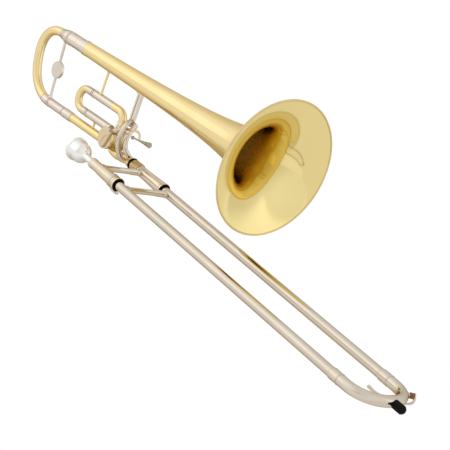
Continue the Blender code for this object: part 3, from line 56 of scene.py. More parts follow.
def length(name, description, default):
    return FloatProperty(name=name, description=description, default=default, unit="LENGTH", precision=5)


def colour(name, description, default):
    return FloatVectorProperty(name=name, description=description, default=default, subtype="COLOR",
                               min=0.0, max=1.0)


class SlideSizes(bpy.types.PropertyGroup):
    leg_offset: length("Leg offset", "From the middle of the slide to the middle of each leg", 0.043)
    inner_radius: length("Inner tube radius", "Outside radius of the inner slide tubes", 0.0065)
    stocking_radius: length("Stocking radius", "Outside radius of the stockings at the inner tubes' ends", 0.00665)
    stocking_length: length("Stocking length", "How much of each inner tube the stocking covers", 0.12)
    outer_radius: length("Outer tube radius", "Outside radius of the outer slide tubes", 0.0073)
    outer_wall: length("Outer tube wall", "Wall of the outer slide tubes", 0.0004)
    outer_start: length("Outer tube start", "Where the outer tubes begin inside the barrels", 0.058)
    bow_start: length("End bow start", "Where the end bow takes over from the outer tubes", 0.646)
    bow_radius: length("End bow radius", "Outside radius of the end bow's tube", 0.0079)
    bow_straight: length("End bow straight", "Straight length at each end of the bow", 0.0078)
    bow_depth: length("End bow depth", "How far the bow runs out past its straight ends", 0.0425)
    bow_fullness: FloatProperty(name="End bow fullness", description="2 is an ellipse, more is squarer",
                                default=2.26, min=1.5, max=4.0)
    barrel_start: length("Barrel start", "Where the cork barrels begin", 0.007)
    barrel_end: length("Barrel end", "The mouth of the cork barrels", 0.066)
    barrel_small: length("Barrel small radius", "Outside radius at the barrels' narrow end", 0.0087)
    barrel_large: length("Barrel large radius", "Outside radius before the barrels' mouth", 0.0104)
    barrel_mouth: length("Barrel mouth radius", "Outside radius of the turned lip", 0.0111)
    brace_radius: length("Brace radius", "Radius of the cross braces", 0.0046)
    brace_ferrule: length("Brace ferrule radius", "Radius of the ferrule near each brace's bell-side end", 0.0054)
    outer_brace: length("Outer brace place", "Where the outer slide's brace stands", 0.081)
    bumper_length: length("Bumper length", "How far the rubber bumper stands out", 0.0155)
    bumper_radius: length("Bumper radius", "Radius of the rubber bumper", 0.0063)


class MouthpieceSizes(bpy.types.PropertyGroup):
    tip: length("Shank tip", "Where the shank ends inside the receiver", 0.009)
    whole: length("Length", "From the rim to the shank's tip", 0.0825)
    rim_radius: length("Rim radius", "Widest radius of the rim", 0.0194)
    cup_radius: length("Cup radius", "Radius of the cup's mouth", 0.0127)
    cup_depth: length("Cup depth", "From the rim to the throat", 0.025)
    throat_radius: length("Throat radius", "Radius of the throat", 0.0032)
    bowl_radius: length("Bowl radius", "Radius of the cup's round outside", 0.0168)
    bowl_middle: length("Bowl middle", "From the rim to the middle of the bowl", 0.0165)


class BellSizes(bpy.types.PropertyGroup):
    place: FloatVectorProperty(name="Place", description="Where the bell section's own axes start",
                               default=(-0.2417, 0.0227, 0.0016), subtype="TRANSLATION")
    turn: FloatVectorProperty(name="Turn", description="How the bell section is turned against the slide",
                              default=(math.radians(-1.60), math.radians(-1.20), math.radians(5.36)),
                              subtype="EULER")
    height: length("Height", "From the neckpipe up to the bell tube", 0.1164)
    tail: length("Tail", "Where the bell's tube starts in its sleeve", 0.0038)
    rim_place: length("Rim place", "Where the rim stands along the bell", 0.506)
    rim_radius: length("Rim radius", "Radius of the bell at its rim", 0.1062)
    flare_offset: length("Flare offset", "Sets how suddenly the flare opens", 0.0136)
    flare_power: FloatProperty(name="Flare power", description="Power of the horn law", default=0.612)
    wall: length("Wall", "Thickness of the bell's sheet", 0.0007)
    bead_radius: length("Bead radius", "Radius of the rolled rim", 0.0014)
    stations: IntProperty(name="Stations", description="Rings of the bell's mesh", default=150, min=12)
    sides: IntProperty(name="Sides", description="Faces round the bell", default=160, min=16)


class TuningSizes(bpy.types.PropertyGroup):
    sleeve_start: length("Sleeve start", "Where both tuning sleeves begin", -0.0434)
    sleeve_end: length("Sleeve end", "Where the upper sleeve's band ends on the bell tube", 0.0116)
    upper_leg: length("Upper leg radius", "Outside radius of the upper inner leg", 0.010)
    lower_leg: length("Lower leg radius", "Outside radius of the lower inner leg", 0.0068)
    leg_insertion: length("Leg insertion", "How far the inner legs reach into the sleeves", 0.044)
    bow_radius: length("Bow radius", "Outside radius of the tuning bow", 0.0077)
    bow_top: length("Bow top", "Where the bow's upper end is", -0.0686)
    bow_foot: length("Bow foot", "Where the bow's lower end would be", -0.0445)
    bow_depth: length("Bow depth", "How far the bow runs out past its ends", 0.057)
    bow_fullness: FloatProperty(name="Bow fullness", description="2 is an ellipse, more is squarer", default=2.29)
    bow_seam: length("Bow seam", "Where the bow goes into its lower ferrule", -0.061)
    brace_radius: length("Brace radius", "Radius of the tuning slide's brace", 0.0023)
    plate_radius: length("Round plate radius", "Radius of the plate on the brace", 0.0144)
    plate_thickness: length("Round plate thickness", "Thickness of the plate on the brace", 0.0058)


class ValveSizes(bpy.types.PropertyGroup):
    place_x: length("Valve place", "Where the valve stands along the bell section", 0.144)
    place_z: length("Valve height", "Height of the valve's axis above the neckpipe", 0.0112)
    casing_radius: length("Casing radius", "Outside radius of the casing", 0.017)
    casing_half: length("Casing half length", "Half of the casing's length", 0.015)
    cap_radius: length("Cap radius", "Radius of the front plate and the back cap", 0.018)
    cap_thickness: length("Cap thickness", "Thickness of the front plate and the back cap", 0.0034)
    crank_radius: length("Crank radius", "From the spindle to the crank's pin", 0.0049)
    neck_radius: length("Neckpipe radius", "Outside radius of the neckpipe", 0.0073)
    loop_height: length("Loop height", "Height of the upper loop tube", 0.0576)
    loop_leg: length("Loop leg radius", "Outside radius of the loop's inner legs", 0.0057)
    loop_ring: length("Loop ring", "Where the loop's sleeves begin", 0.061)
    loop_end: length("Loop end", "Where the upper loop sleeve ends", 0.1196)
    loop_bow: length("Loop bow", "Middle of the loop's bow", 0.044)
    elbow_place: length("Elbow place", "Where the elbow comes down", 0.153)
    elbow_bend: length("Elbow bend", "Bend radius of the elbow", 0.017)
    elbow_radius: length("Elbow radius", "Outside radius of the elbow", 0.0068)


class LeverSizes(bpy.types.PropertyGroup):
    pivot: FloatVectorProperty(name="Pivot", description="Lever pivot along and above the bell section, in metres",
                               size=2, default=(0.1586, 0.0288))
    half_width: length("Half width", "Half the width of the lever's arm", 0.0021)
    thickness: length("Thickness", "Thickness of the lever's arm", 0.0018)
    touch_radius: length("Touch rod radius", "Radius of the rod under the thumb", 0.0017)
    guard_radius: length("Guard radius", "Radius of the two guard bars", 0.0043)
    brace_place: length("Bell brace place", "Where the bell brace stands", 0.173)
    brace_width: length("Bell brace width", "Width of the bell brace", 0.0115)
    brace_thickness: length("Bell brace thickness", "Thickness of the bell brace", 0.0062)
    socket_height: length("Socket height", "Height of the cross socket", 0.0493)
    socket_radius: length("Socket radius", "Radius of the cross socket", 0.0048)


class FinishColours(bpy.types.PropertyGroup):
    gold: colour("Gold lacquer", "Lacquered brass", (0.90, 0.72, 0.37))
    gold_deep: colour("Deep gold", "Lacquered brass where it is a little darker", (0.86, 0.67, 0.32))
    # Brass darker than the lacquer: partly the brass's own colour, partly painted shade and dark reflections round the
    # valve
    deep_brass: colour("Deep brass", "Brass of the casing and the nut", (0.62, 0.46, 0.20))
    rim_brass: colour("Rim brass", "Brass of the bell's rolled rim", (0.80, 0.62, 0.30))
    # Seam rings: dark tarnished metal, and painted shadow of the gap at each joint
    tarnish: colour("Tarnish", "Dark seams of the sleeves", (0.14, 0.085, 0.03))
    flare: colour("Flare", "Lacquer on the inside of the flare", (0.88, 0.725, 0.32))
    # Throat and bore tones are darker as painted shade deep in the bell; the bore is also bare brass
    throat: colour("Throat", "Lacquer where the bell narrows", (0.74, 0.575, 0.18))
    bore: colour("Bore", "Bare brass deep inside the bell", (0.70, 0.50, 0.14))
    nickel: colour("Nickel", "Plate on the valve section", (0.79, 0.705, 0.61))
    warm_nickel: colour("Warm nickel", "Plate on the valve's front and its lever", (0.78, 0.63, 0.42))
    slide_nickel: colour("Slide nickel", "Plate on the hand slide", (0.71, 0.63, 0.52))
    barrel_nickel: colour("Barrel nickel", "Plate on the cork barrels and receiver", (0.81, 0.70, 0.54))
    silver: colour("Silver", "Plate on the mouthpiece", (0.91, 0.895, 0.865))
    steel: colour("Steel", "Screws, inner legs and the touch", (0.46, 0.39, 0.285))
    rubber: colour("Rubber", "Bumper and rings", (0.004, 0.004, 0.004))
    cork: colour("Cork", "The water key's cork", (0.34, 0.125, 0.025))


class StudioSettings(bpy.types.PropertyGroup):
    camera_place: FloatVectorProperty(name="Camera place", description="Where the camera stands",
                                      default=(1.9009, -1.3657, 0.7073), subtype="TRANSLATION")
    camera_turn: FloatVectorProperty(name="Camera turn", description="How the camera is turned",
                                     default=(1.2480234, -0.3343818, 0.9790962), subtype="EULER")
    focal_length: FloatProperty(name="Focal length", description="Lens, in millimetres on a 36 mm sensor",
                                default=124.72, min=10.0)
    floor_height: length("Floor height", "Where the floor lies", -0.32)
    floor_near: FloatProperty(name="Near floor", description="Level of the floor in front in reflections",
                              default=0.98)
    floor_tint: colour("Floor tint", "Colour of the shaded floor in reflections", (1.0, 0.88, 0.66))
    glow_level: FloatProperty(name="Glow", description="Level of the brassy light on the floor under the bell",
                              default=0.72)
    glow_tint: colour("Glow tint", "Colour of the light that the brass throws on the floor", (1.0, 0.84, 0.42))
    floor_side: FloatProperty(name="Side floor", description="Level of the floor under the bell in reflections",
                              default=0.87)
    floor_far: FloatProperty(name="Far floor", description="Level of the floor behind the object in reflections",
                             default=0.42)
    tent_level: FloatProperty(name="Tent", description="Level of the backdrop in reflections", default=0.79)
    above_level: FloatProperty(name="Above", description="How much lighter the backdrop is above", default=0.06)
    key_level: FloatProperty(name="Key", description="How much lighter it is towards the front left", default=0.30)
    side_level: FloatProperty(name="Side", description="How much lighter it is towards the back right", default=0.26)
    flank_level: FloatProperty(name="Flank", description="How much lighter it is towards the right",
                               default=0.12)


# Making meshes


def eased(profile, radius, steps=3, closed=True):
    """A profile with its corners rounded, and a support point beside each rounding."""
    points = [Vector(p[:2]) for p in profile]
    own = [p[2] if len(p) > 2 else radius for p in profile]
    count = len(points)
    result = []
    for i, point in enumerate(points):
        if not closed and i in (0, count - 1):
            result.append(tuple(point))
            continue
        before = points[i - 1] - point
        after = points[(i + 1) % count] - point
        if before.length < 1e-9 or after.length < 1e-9:
            result.append(tuple(point))
            continue
        bend = math.pi - before.angle(after)
        limit = 0.42 * min(before.length, after.length)
        cut = min(own[i] * math.tan(bend / 2), limit)
        if bend < math.radians(4) or cut < 1e-6:
            result.append(tuple(point))
            continue
        support = min(0.25 * cut, 0.05 * min(before.length, after.length)) + cut
        start = point + before.normalized() * cut
        end = point + after.normalized() * cut
        result.append(tuple(point + before.normalized() * support))
        for k in range(steps + 1):
            t = k / steps
            result.append(tuple(start * (1 - t) ** 2 + point * 2 * t * (1 - t) + end * t * t))
        result.append(tuple(point + after.normalized() * support))
    return result


def lathe(profile, sides=64, closed=True):
    """A turned shape round the x axis from (x, radius) points."""
    work = bmesh.new()
    rings = []
    for x, radius in profile:
        if radius < 1e-6:
            rings.append([work.verts.new((x, 0.0, 0.0))])
            continue
        rings.append([work.verts.new((x, radius * math.cos(2 * math.pi * k / sides),
                                      radius * math.sin(2 * math.pi * k / sides))) for k in range(sides)])
    following = rings[1:] + (rings[:1] if closed else [])
    for ring, other in zip(rings, following):
        for k in range(sides):
            n = (k + 1) % sides
            if len(ring) == 1 and len(other) == 1:
                break
            if len(ring) == 1:
                work.faces.new((ring[0], other[k], other[n]))
            elif len(other) == 1:
                work.faces.new((ring[k], ring[n], other[0]))
            else:
                work.faces.new((ring[k], ring[n], other[n], other[k]))
    return work


def tube_wall(start, end, outer, inner):
    return [(end, outer), (start, outer), (start, inner), (end, inner)]


def groove(x, radius, depth=0.8 * MM, half=0.85 * MM):
    """A narrow turned groove, where two tubes meet or a ring begins."""
    flank = 0.2 * MM
    return [(x + half, radius), (x + half - flank, radius - depth), (x - half + flank, radius - depth),
            (x - half, radius)]


def make_seams(name, seams):
    """Thin dark rings where sleeves begin: tarnished metal, and painted shadow of the gap at each joint."""
    work = bmesh.new()
    for place, x, width, inner, outer in seams:
        merge_into(work, lathe(eased(tube_wall(x, x + width, outer, inner), 0.1 * MM, 1), 56), place)
    make_piece(name, work, "bell_section", TARNISH_AND_SEAM_SHADE, [])


def smooth_route(points, per_span=10):
    """A smooth curve through points of any dimension."""
    vectors = [Vector(p) for p in points]
    ends = [vectors[0] * 2 - vectors[1]] + vectors + [vectors[-1] * 2 - vectors[-2]]
    route = []
    for i in range(1, len(ends) - 2):
        a, b, c, d = ends[i - 1:i + 3]
        for k in range(per_span):
            t = k / per_span
            route.append(0.5 * (2 * b + (c - a) * t + (2 * a - 5 * b + 4 * c - d) * t * t
                                + (3 * b - a - 3 * c + d) * t ** 3))
    route.append(vectors[-1])
    return route


def round_section(sides):
    return [(math.cos(2 * math.pi * k / sides), math.sin(2 * math.pi * k / sides)) for k in range(sides)]


def soft_box_section(half_width, half_thickness, corner, steps=4):
    """A rectangle with round corners, as unit-free points for a sweep of radius 1."""
    points = []
    for sx, sy, start in ((1, 1, 0.0), (-1, 1, 90.0), (-1, -1, 180.0), (1, -1, 270.0)):
        for k in range(steps + 1):
            angle = math.radians(start + 90.0 * k / steps)
            points.append((sx * (half_width - corner) + corner * math.cos(angle),
                           sy * (half_thickness - corner) + corner * math.sin(angle)))
    return points


def sweep(route, radii, section, side=None, domed=False):
    """A section carried along a route. side fixes the section's second direction."""
    points = [Vector(p) for p in route]
    count = len(points)
    if not hasattr(radii, "__len__"):
        radii = [radii] * count
    tangents = []
    for i in range(count):
        tangents.append((points[min(i + 1, count - 1)] - points[max(i - 1, 0)]).normalized())
    if side is None:
        guess = Vector((0.0, 1.0, 0.0)) if abs(tangents[0].y) < 0.9 else Vector((1.0, 0.0, 0.0))
        across = (guess - tangents[0] * guess.dot(tangents[0])).normalized()
    else:
        across = Vector(side)
    stations = []
    for i in range(count):
        if side is None:
            across = (across - tangents[i] * across.dot(tangents[i])).normalized()
        else:
            across = (Vector(side) - tangents[i] * Vector(side).dot(tangents[i])).normalized()
        stations.append((points[i], tangents[i], across, radii[i]))
    if domed:
        first, last = stations[0], stations[-1]
        head, tail = [], []
        for k in range(1, 5):
            angle = math.radians(90.0 * k / 5)
            shrink, out = math.cos(angle), math.sin(angle)
            head.append((first[0] - first[1] * first[3] * out, first[1], first[2], first[3] * shrink))
            tail.append((last[0] + last[1] * last[3] * out, last[1], last[2], last[3] * shrink))
        stations = head[::-1] + stations + tail
    work = bmesh.new()
    rings = []
    for point, along, across, radius in stations:
        normal = along.cross(across)
        rings.append([work.verts.new(point + (normal * a + across * b) * radius) for a, b in section])
    size = len(section)
    for ring, other in zip(rings, rings[1:]):
        for k in range(size):
            n = (k + 1) % size
            work.faces.new((ring[k], ring[n], other[n], other[k]))
    work.faces.new(rings[0][::-1])
    work.faces.new(rings[-1])
    return work


def domed_strap(route, half_widths, height, lips, steps=10):
    """A strap in the x-z plane, flat at the back and domed in front, with a lip back from its right edge."""
    work = bmesh.new()
    rings = []
    for i, point in enumerate(route):
        before, after = route[max(i - 1, 0)], route[min(i + 1, len(route) - 1)]
        along = (after - before).normalized()
        across = Vector((-along.z, 0.0, along.x))
        width = half_widths[i]
        rise = min(height, 0.9 * width)
        arch = [math.pi * k / steps for k in range(steps + 1)]
        rings.append([work.verts.new(point + across * width * math.cos(a)
                                     + Vector((0.0, -0.4 * MM - rise * math.sin(a), 0.0))) for a in arch]
                     + [work.verts.new(point + across * (width * side + inset) + Vector((0.0, depth, 0.0)))
                        for side, inset, depth in ((-0.96, 0.0, 0.0), (0.96, -0.8 * MM, 0.0),
                                                   (0.96, -0.7 * MM, lips[i]), (0.96, 0.0, lips[i]))])
    size = len(rings[0])
    for ring, other in zip(rings, rings[1:]):
        for k in range(size):
            n = (k + 1) % size
            work.faces.new((ring[k], ring[n], other[n], other[k]))
    work.faces.new(rings[0][::-1])
    work.faces.new(rings[-1])
    return work


def merge_into(target, other, place=None):
    """Adds another bmesh to the first."""
    if place is not None:
        other.transform(place)
    mesh = bpy.data.meshes.new("merge")
    other.to_mesh(mesh)
    other.free()
    target.from_mesh(mesh)
    bpy.data.meshes.remove(mesh)
    return target


def finish_piece(obj, body, finish, nodes):
    """Rides a piece on its body, gives it its finish and hides the imported parts that it stands for."""
    obj.data.materials.clear()
    obj.data.materials.append(finish_material(finish))
    for polygon in obj.data.polygons:
        polygon.use_smooth = True
    obj.data.set_sharp_from_angle(angle=math.radians(42))
    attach(obj, body)
    if nodes:
        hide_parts(*nodes)
    return obj


def make_piece(name, work, body, finish, nodes=(), place=None):
    """Turns a bmesh into a finished piece whose place lies in its mesh."""
    if place is not None:
        work.transform(place)
    bmesh.ops.recalc_face_normals(work, faces=work.faces)
    mesh = bpy.data.meshes.new(name)
    work.to_mesh(mesh)
    work.free()
    obj = bpy.data.objects.new(name, mesh)
    bpy.context.scene.collection.objects.link(obj)
    return finish_piece(obj, body, finish, nodes)


def bell_axes():
    """The bell section's own axes: x along the bell tube, z up from the neckpipe."""
    sizes = bpy.context.scene.trombone_bell
    return Matrix.Translation(sizes.place) @ Euler(sizes.turn, "XYZ").to_matrix().to_4x4()


def at(x=0.0, y=0.0, z=0.0):
    return Matrix.Translation((x, y, z))


def along_y():
    """Turns a shape made round x so that it lies round y."""
    return Matrix.Rotation(math.pi / 2, 4, "Z")


def bell_radius(x):
    sizes = bpy.context.scene.trombone_bell
    from_rim = sizes.rim_place - x
    return sizes.rim_radius * (sizes.flare_offset / (from_rim + sizes.flare_offset)) ** sizes.flare_power


def leg(side):
    offset = bpy.context.scene.trombone_slide.leg_offset
    return at(0.0, offset if side == "bell" else -offset, 0.0)


# Materials


def new_material(name):
    material = bpy.data.materials.new(name)
    material.use_nodes = True
    nodes = material.node_tree.nodes
    nodes.clear()
    output = nodes.new("ShaderNodeOutputMaterial")
    shader = nodes.new("ShaderNodeBsdfPrincipled")
    material.node_tree.links.new(shader.outputs["BSDF"], output.inputs["Surface"])
    return material, shader


def add_dot(tree, vector, axis):
    """How far a vector goes along an axis."""
    dot = tree.nodes.new("ShaderNodeVectorMath")
    dot.operation = "DOT_PRODUCT"
    tree.links.new(vector, dot.inputs[0])
    dot.inputs[1].default_value = Vector(axis)
    return dot.outputs["Value"]


def add_step(tree, value, low, high, start, end):
    """A smooth change from start to end while the value goes from low to high."""
    step = tree.nodes.new("ShaderNodeMapRange")
    step.interpolation_type = "SMOOTHSTEP"
    for name, number in (("From Min", low), ("From Max", high), ("To Min", start), ("To Max", end)):
        step.inputs[name].default_value = number
    tree.links.new(value, step.inputs["Value"])
    return step.outputs["Result"]


def add_noise(material, scale, detail=3.0, stretch=(1.0, 1.0, 1.0)):
    """Noise on Object coordinates, stretched along the axes."""
    tree = material.node_tree
    coordinates = tree.nodes.new("ShaderNodeTexCoord")
    mapping = tree.nodes.new("ShaderNodeMapping")
    mapping.inputs["Scale"].default_value = stretch
    noise = tree.nodes.new("ShaderNodeTexNoise")
    noise.inputs["Scale"].default_value = scale
    noise.inputs["Detail"].default_value = detail
    tree.links.new(coordinates.outputs["Object"], mapping.inputs["Vector"])
    tree.links.new(mapping.outputs["Vector"], noise.inputs["Vector"])
    return noise.outputs["Fac"]


def add_range(material, value, low, high):
    tree = material.node_tree
    spread = tree.nodes.new("ShaderNodeMapRange")
    spread.inputs["From Min"].default_value = 0.3
    spread.inputs["From Max"].default_value = 0.7
    spread.inputs["To Min"].default_value = low
    spread.inputs["To Max"].default_value = high
    tree.links.new(value, spread.inputs["Value"])
    return spread.outputs["Result"]


def add_mix(material, factor, first, second):
    tree = material.node_tree
    mix = tree.nodes.new("ShaderNodeMix")
    mix.data_type = "RGBA"
    mix.inputs[6].default_value = (*first, 1.0)
    mix.inputs[7].default_value = (*second, 1.0)
    tree.links.new(factor, mix.inputs[0])
    return mix.outputs[2]


def add_bump(material, shader, height, strength, distance):
    tree = material.node_tree
    bump = tree.nodes.new("ShaderNodeBump")
    bump.inputs["Strength"].default_value = strength
    bump.inputs["Distance"].default_value = distance
    tree.links.new(height, bump.inputs["Height"])
    tree.links.new(bump.outputs["Normal"], shader.inputs["Normal"])


def polished_metal(name, light, deep, smooth, rough, coat, grain, edge):
    """Polished metal: cloudy tone, wiping marks in the gloss and fine polishing lines."""
    material, shader = new_material(name)
    links = material.node_tree.links
    shader.inputs["Metallic"].default_value = 1.0
    cloud = add_range(material, add_noise(material, 14.0), 0.0, 1.0)
    links.new(add_mix(material, cloud, light, deep), shader.inputs["Base Color"])
    wiped = add_range(material, add_noise(material, 55.0, 5.0, (0.4, 1.0, 1.0)), smooth, rough)
    links.new(wiped, shader.inputs["Roughness"])
    if coat > 0.0:
        shader.inputs["Coat Weight"].default_value = coat
        shader.inputs["Coat Roughness"].default_value = 0.06
    shader.inputs["Specular Tint"].default_value = (*(edge * c for c in light), 1.0)
    lines = add_noise(material, 900.0, 2.0, (0.06, 1.0, 1.0))
    add_bump(material, shader, lines, grain, 0.00002)
    return material


def dull_rubber(name, tone):
    material, shader = new_material(name)
    links = material.node_tree.links
    speckle = add_range(material, add_noise(material, 700.0, 2.0), 0.0, 1.0)
    lighter = tuple(c * 1.8 + 0.002 for c in tone)
    links.new(add_mix(material, speckle, tone, lighter), shader.inputs["Base Color"])
    shader.inputs["Specular IOR Level"].default_value = 0.06
    links.new(add_range(material, add_noise(material, 120.0), 0.5, 0.7), shader.inputs["Roughness"])
    add_bump(material, shader, add_noise(material, 1500.0, 2.0), 0.25, 0.00005)
    return material


def cork_finish(name, tone):
    material, shader = new_material(name)
    tree = material.node_tree
    coordinates = tree.nodes.new("ShaderNodeTexCoord")
    cells = tree.nodes.new("ShaderNodeTexVoronoi")
    cells.inputs["Scale"].default_value = 900.0
    tree.links.new(coordinates.outputs["Object"], cells.inputs["Vector"])
    dark = tuple(c * 0.35 for c in tone)
    tree.links.new(add_mix(material, cells.outputs["Distance"], dark, tone), shader.inputs["Base Color"])
    shader.inputs["Roughness"].default_value = 0.85
    add_bump(material, shader, cells.outputs["Distance"], 0.5, 0.0002)
    return material


def bell_inside_material():
    """The lacquer inside the bell, darkened towards the throat as painted shade, and the bore past it dull brown: bare
    brass, darkened further as painted shade.
    """
    tones = bpy.context.scene.trombone_finish
    sizes = bpy.context.scene.trombone_bell
    flare = tuple(tones.flare)
    material = polished_metal("bell_inside", flare, tuple(c * 0.97 for c in flare), 0.08, 0.12, 0.35, 0.03, 0.85)
    tree = material.node_tree
    shader = next(node for node in tree.nodes if node.type == "BSDF_PRINCIPLED")
    rim = bell_axes() @ Vector((sizes.rim_place, 0.0, sizes.height))
    along = bell_axes().to_3x3() @ Vector((1.0, 0.0, 0.0))
    coordinates = tree.nodes.new("ShaderNodeTexCoord")
    place = add_dot(tree, coordinates.outputs["Object"], along)
    start = rim.dot(along)
    # Painted shade: the colour darkens towards the throat and again in the bore
    narrow = add_step(tree, place, start - 0.060, start - 0.022, 1.0, 0.0)
    deep = add_step(tree, place, start - 0.115, start - 0.040, 1.0, 0.0)
    tree.links.new(add_step(tree, place, start - 0.150, start - 0.070, 0.4, 1.0), shader.inputs["Metallic"])
    for name, share, dull in (("Base Color", narrow, (*tones.throat, 1.0)),
                              ("Base Color", deep, (*tones.bore, 1.0)), ("Roughness", deep, 0.30)):
        source = shader.inputs[name].links[0].from_socket
        mix = tree.nodes.new("ShaderNodeMix")
        mix.data_type = "RGBA" if name == "Base Color" else "FLOAT"
        first, second, result = (6, 7, 2) if name == "Base Color" else (2, 3, 0)
        mix.inputs[second].default_value = dull
        tree.links.new(share, mix.inputs[0])
        tree.links.new(source, mix.inputs[first])
        tree.links.new(mix.outputs[result], shader.inputs[name])
    return material


GOLD = "gold_lacquer_brass"
SHADED_BRASS = "deep_brass"
RIM_BRASS = "rim_brass"
# Seam rings: tarnished metal, and painted shadow of the joints' gaps
TARNISH_AND_SEAM_SHADE = "tarnish"
NICKEL = "nickel_plate"
WARM_NICKEL = "warm_nickel"
SLIDE_NICKEL = "slide_nickel"
BARREL_NICKEL = "barrel_nickel"
SILVER = "silver_plate"
STEEL = "screw_steel"
RUBBER = "black_rubber"
CORK = "red_cork"
# Tone, how light its darker clouds are, roughness from and to, lacquer coat, polishing lines,
# and how light it is where it turns away
METALS = {
    GOLD: ("gold", 0.93, 0.10, 0.17, 0.35, 0.05, 0.85),
    SHADED_BRASS: ("deep_brass", 0.75, 0.14, 0.26, 0.2, 0.06, 0.6),
    RIM_BRASS: ("rim_brass", 0.9, 0.12, 0.2, 0.2, 0.05, 0.8),
    TARNISH_AND_SEAM_SHADE: ("tarnish", 0.7, 0.3, 0.5, 0.0, 0.2, 0.6),
    NICKEL: ("nickel", 0.92, 0.16, 0.24, 0.0, 0.08, 0.66),
    WARM_NICKEL: ("warm_nickel", 0.92, 0.14, 0.22, 0.0, 0.06, 0.6),
    SLIDE_NICKEL: ("slide_nickel", 0.93, 0.06, 0.12, 0.0, 0.03, 0.9),
    BARREL_NICKEL: ("barrel_nickel", 0.93, 0.08, 0.14, 0.0, 0.03, 0.85),
    SILVER: ("silver", 0.95, 0.05, 0.10, 0.0, 0.02, 0.8),
    STEEL: ("steel", 0.85, 0.20, 0.32, 0.0, 0.15, 0.6),
}
# The material of each finish, once it is made
MATERIALS = {}


def finish_material(finish):
    """The material of a finish, made once."""
    if finish in MATERIALS:
        return MATERIALS[finish]
    tones = bpy.context.scene.trombone_finish
    if finish in METALS:
        tone, share, smooth, rough, coat, grain, edge = METALS[finish]
        light = tuple(getattr(tones, tone))
        deep = tuple(tones.gold_deep) if finish == GOLD else tuple(c * share for c in light)
        made = polished_metal(finish, light, deep, smooth, rough, coat, grain, edge)
    elif finish == RUBBER:
        made = dull_rubber(finish, tuple(tones.rubber))
    elif finish == CORK:
        made = cork_finish(finish, tuple(tones.cork))
    else:
        raise ValueError("there is no finish named " + finish)
    MATERIALS[finish] = made
    return made


# Geometry Nodes


def node_input(tree, name, kind, default=None):
    socket = tree.interface.new_socket(name=name, in_out="INPUT", socket_type=kind)
    if default is not None:
        socket.default_value = default
    return socket


def math_node(tree, operation, first, second=None):
    node = tree.nodes.new("ShaderNodeMath")
    node.operation = operation
    for index, value in enumerate((first, second)):
        if value is None:
            continue
        if isinstance(value, (int, float)):
            node.inputs[index].default_value = value
        else:
            tree.links.new(value, node.inputs[index])
    return node.outputs[0]


def flare_tree():
    """A horn by the horn law: the radius falls as a power of the distance from the rim."""
    tree = bpy.data.node_groups.new("bell_flare", "GeometryNodeTree")
    for name, kind in (("Rim Place", "NodeSocketFloat"), ("Tail Place", "NodeSocketFloat"),
                       ("Rim Radius", "NodeSocketFloat"), ("Flare Offset", "NodeSocketFloat"),
                       ("Flare Power", "NodeSocketFloat"), ("Stations", "NodeSocketInt"),
                       ("Sides", "NodeSocketInt"), ("Material", "NodeSocketMaterial")):
        node_input(tree, name, kind)
    tree.interface.new_socket(name="Geometry", in_out="OUTPUT", socket_type="NodeSocketGeometry")
    source = tree.nodes.new("NodeGroupInput")
    line = tree.nodes.new("GeometryNodeCurvePrimitiveLine")
    line.inputs["End"].default_value = (1.0, 0.0, 0.0)
    spaced = tree.nodes.new("GeometryNodeResampleCurve")
    tree.links.new(line.outputs["Curve"], spaced.inputs["Curve"])
    tree.links.new(source.outputs["Stations"], spaced.inputs["Count"])
    share = tree.nodes.new("GeometryNodeSplineParameter").outputs["Factor"]
    whole = math_node(tree, "SUBTRACT", source.outputs["Rim Place"], source.outputs["Tail Place"])
    from_rim = math_node(tree, "MULTIPLY", whole, math_node(tree, "POWER", share, 2.3))
    place = tree.nodes.new("ShaderNodeCombineXYZ")
    tree.links.new(math_node(tree, "SUBTRACT", source.outputs["Rim Place"], from_rim), place.inputs["X"])
    moved = tree.nodes.new("GeometryNodeSetPosition")
    tree.links.new(spaced.outputs["Curve"], moved.inputs["Geometry"])
    tree.links.new(place.outputs["Vector"], moved.inputs["Position"])
    # The factor is kept before the points move, because moving them changes it
    kept = tree.nodes.new("GeometryNodeCaptureAttribute")
    kept.capture_items.new("FLOAT", "Radius")
    sum_of = math_node(tree, "ADD", from_rim, source.outputs["Flare Offset"])
    falling = math_node(tree, "POWER", math_node(tree, "DIVIDE", source.outputs["Flare Offset"], sum_of),
                        source.outputs["Flare Power"])
    radius = math_node(tree, "MULTIPLY", source.outputs["Rim Radius"], falling)
    tree.links.new(spaced.outputs["Curve"], kept.inputs[0])
    tree.links.new(radius, kept.inputs[1])
    tree.links.new(kept.outputs[0], moved.inputs["Geometry"])
    sized = tree.nodes.new("GeometryNodeSetCurveRadius")
    tree.links.new(moved.outputs["Geometry"], sized.inputs["Curve"])
    tree.links.new(kept.outputs[1], sized.inputs["Radius"])
    circle = tree.nodes.new("GeometryNodeCurvePrimitiveCircle")
    circle.inputs["Radius"].default_value = 1.0
    tree.links.new(source.outputs["Sides"], circle.inputs["Resolution"])
    surface = tree.nodes.new("GeometryNodeCurveToMesh")
    tree.links.new(sized.outputs["Curve"], surface.inputs["Curve"])
    tree.links.new(circle.outputs["Curve"], surface.inputs["Profile Curve"])
    if "Scale" in surface.inputs:
        tree.links.new(kept.outputs[1], surface.inputs["Scale"])
    close_tree(tree, surface.outputs["Mesh"], source.outputs["Material"])
    return tree


def close_tree(tree, geometry, material):
    """Ends a tree in real geometry with its material."""
    real = tree.nodes.new("GeometryNodeRealizeInstances")
    dressed = tree.nodes.new("GeometryNodeSetMaterial")
    result = tree.nodes.new("NodeGroupOutput")
    tree.links.new(geometry, real.inputs["Geometry"])
    tree.links.new(real.outputs["Geometry"], dressed.inputs["Geometry"])
    tree.links.new(material, dressed.inputs["Material"])
    tree.links.new(dressed.outputs["Geometry"], result.inputs[0])


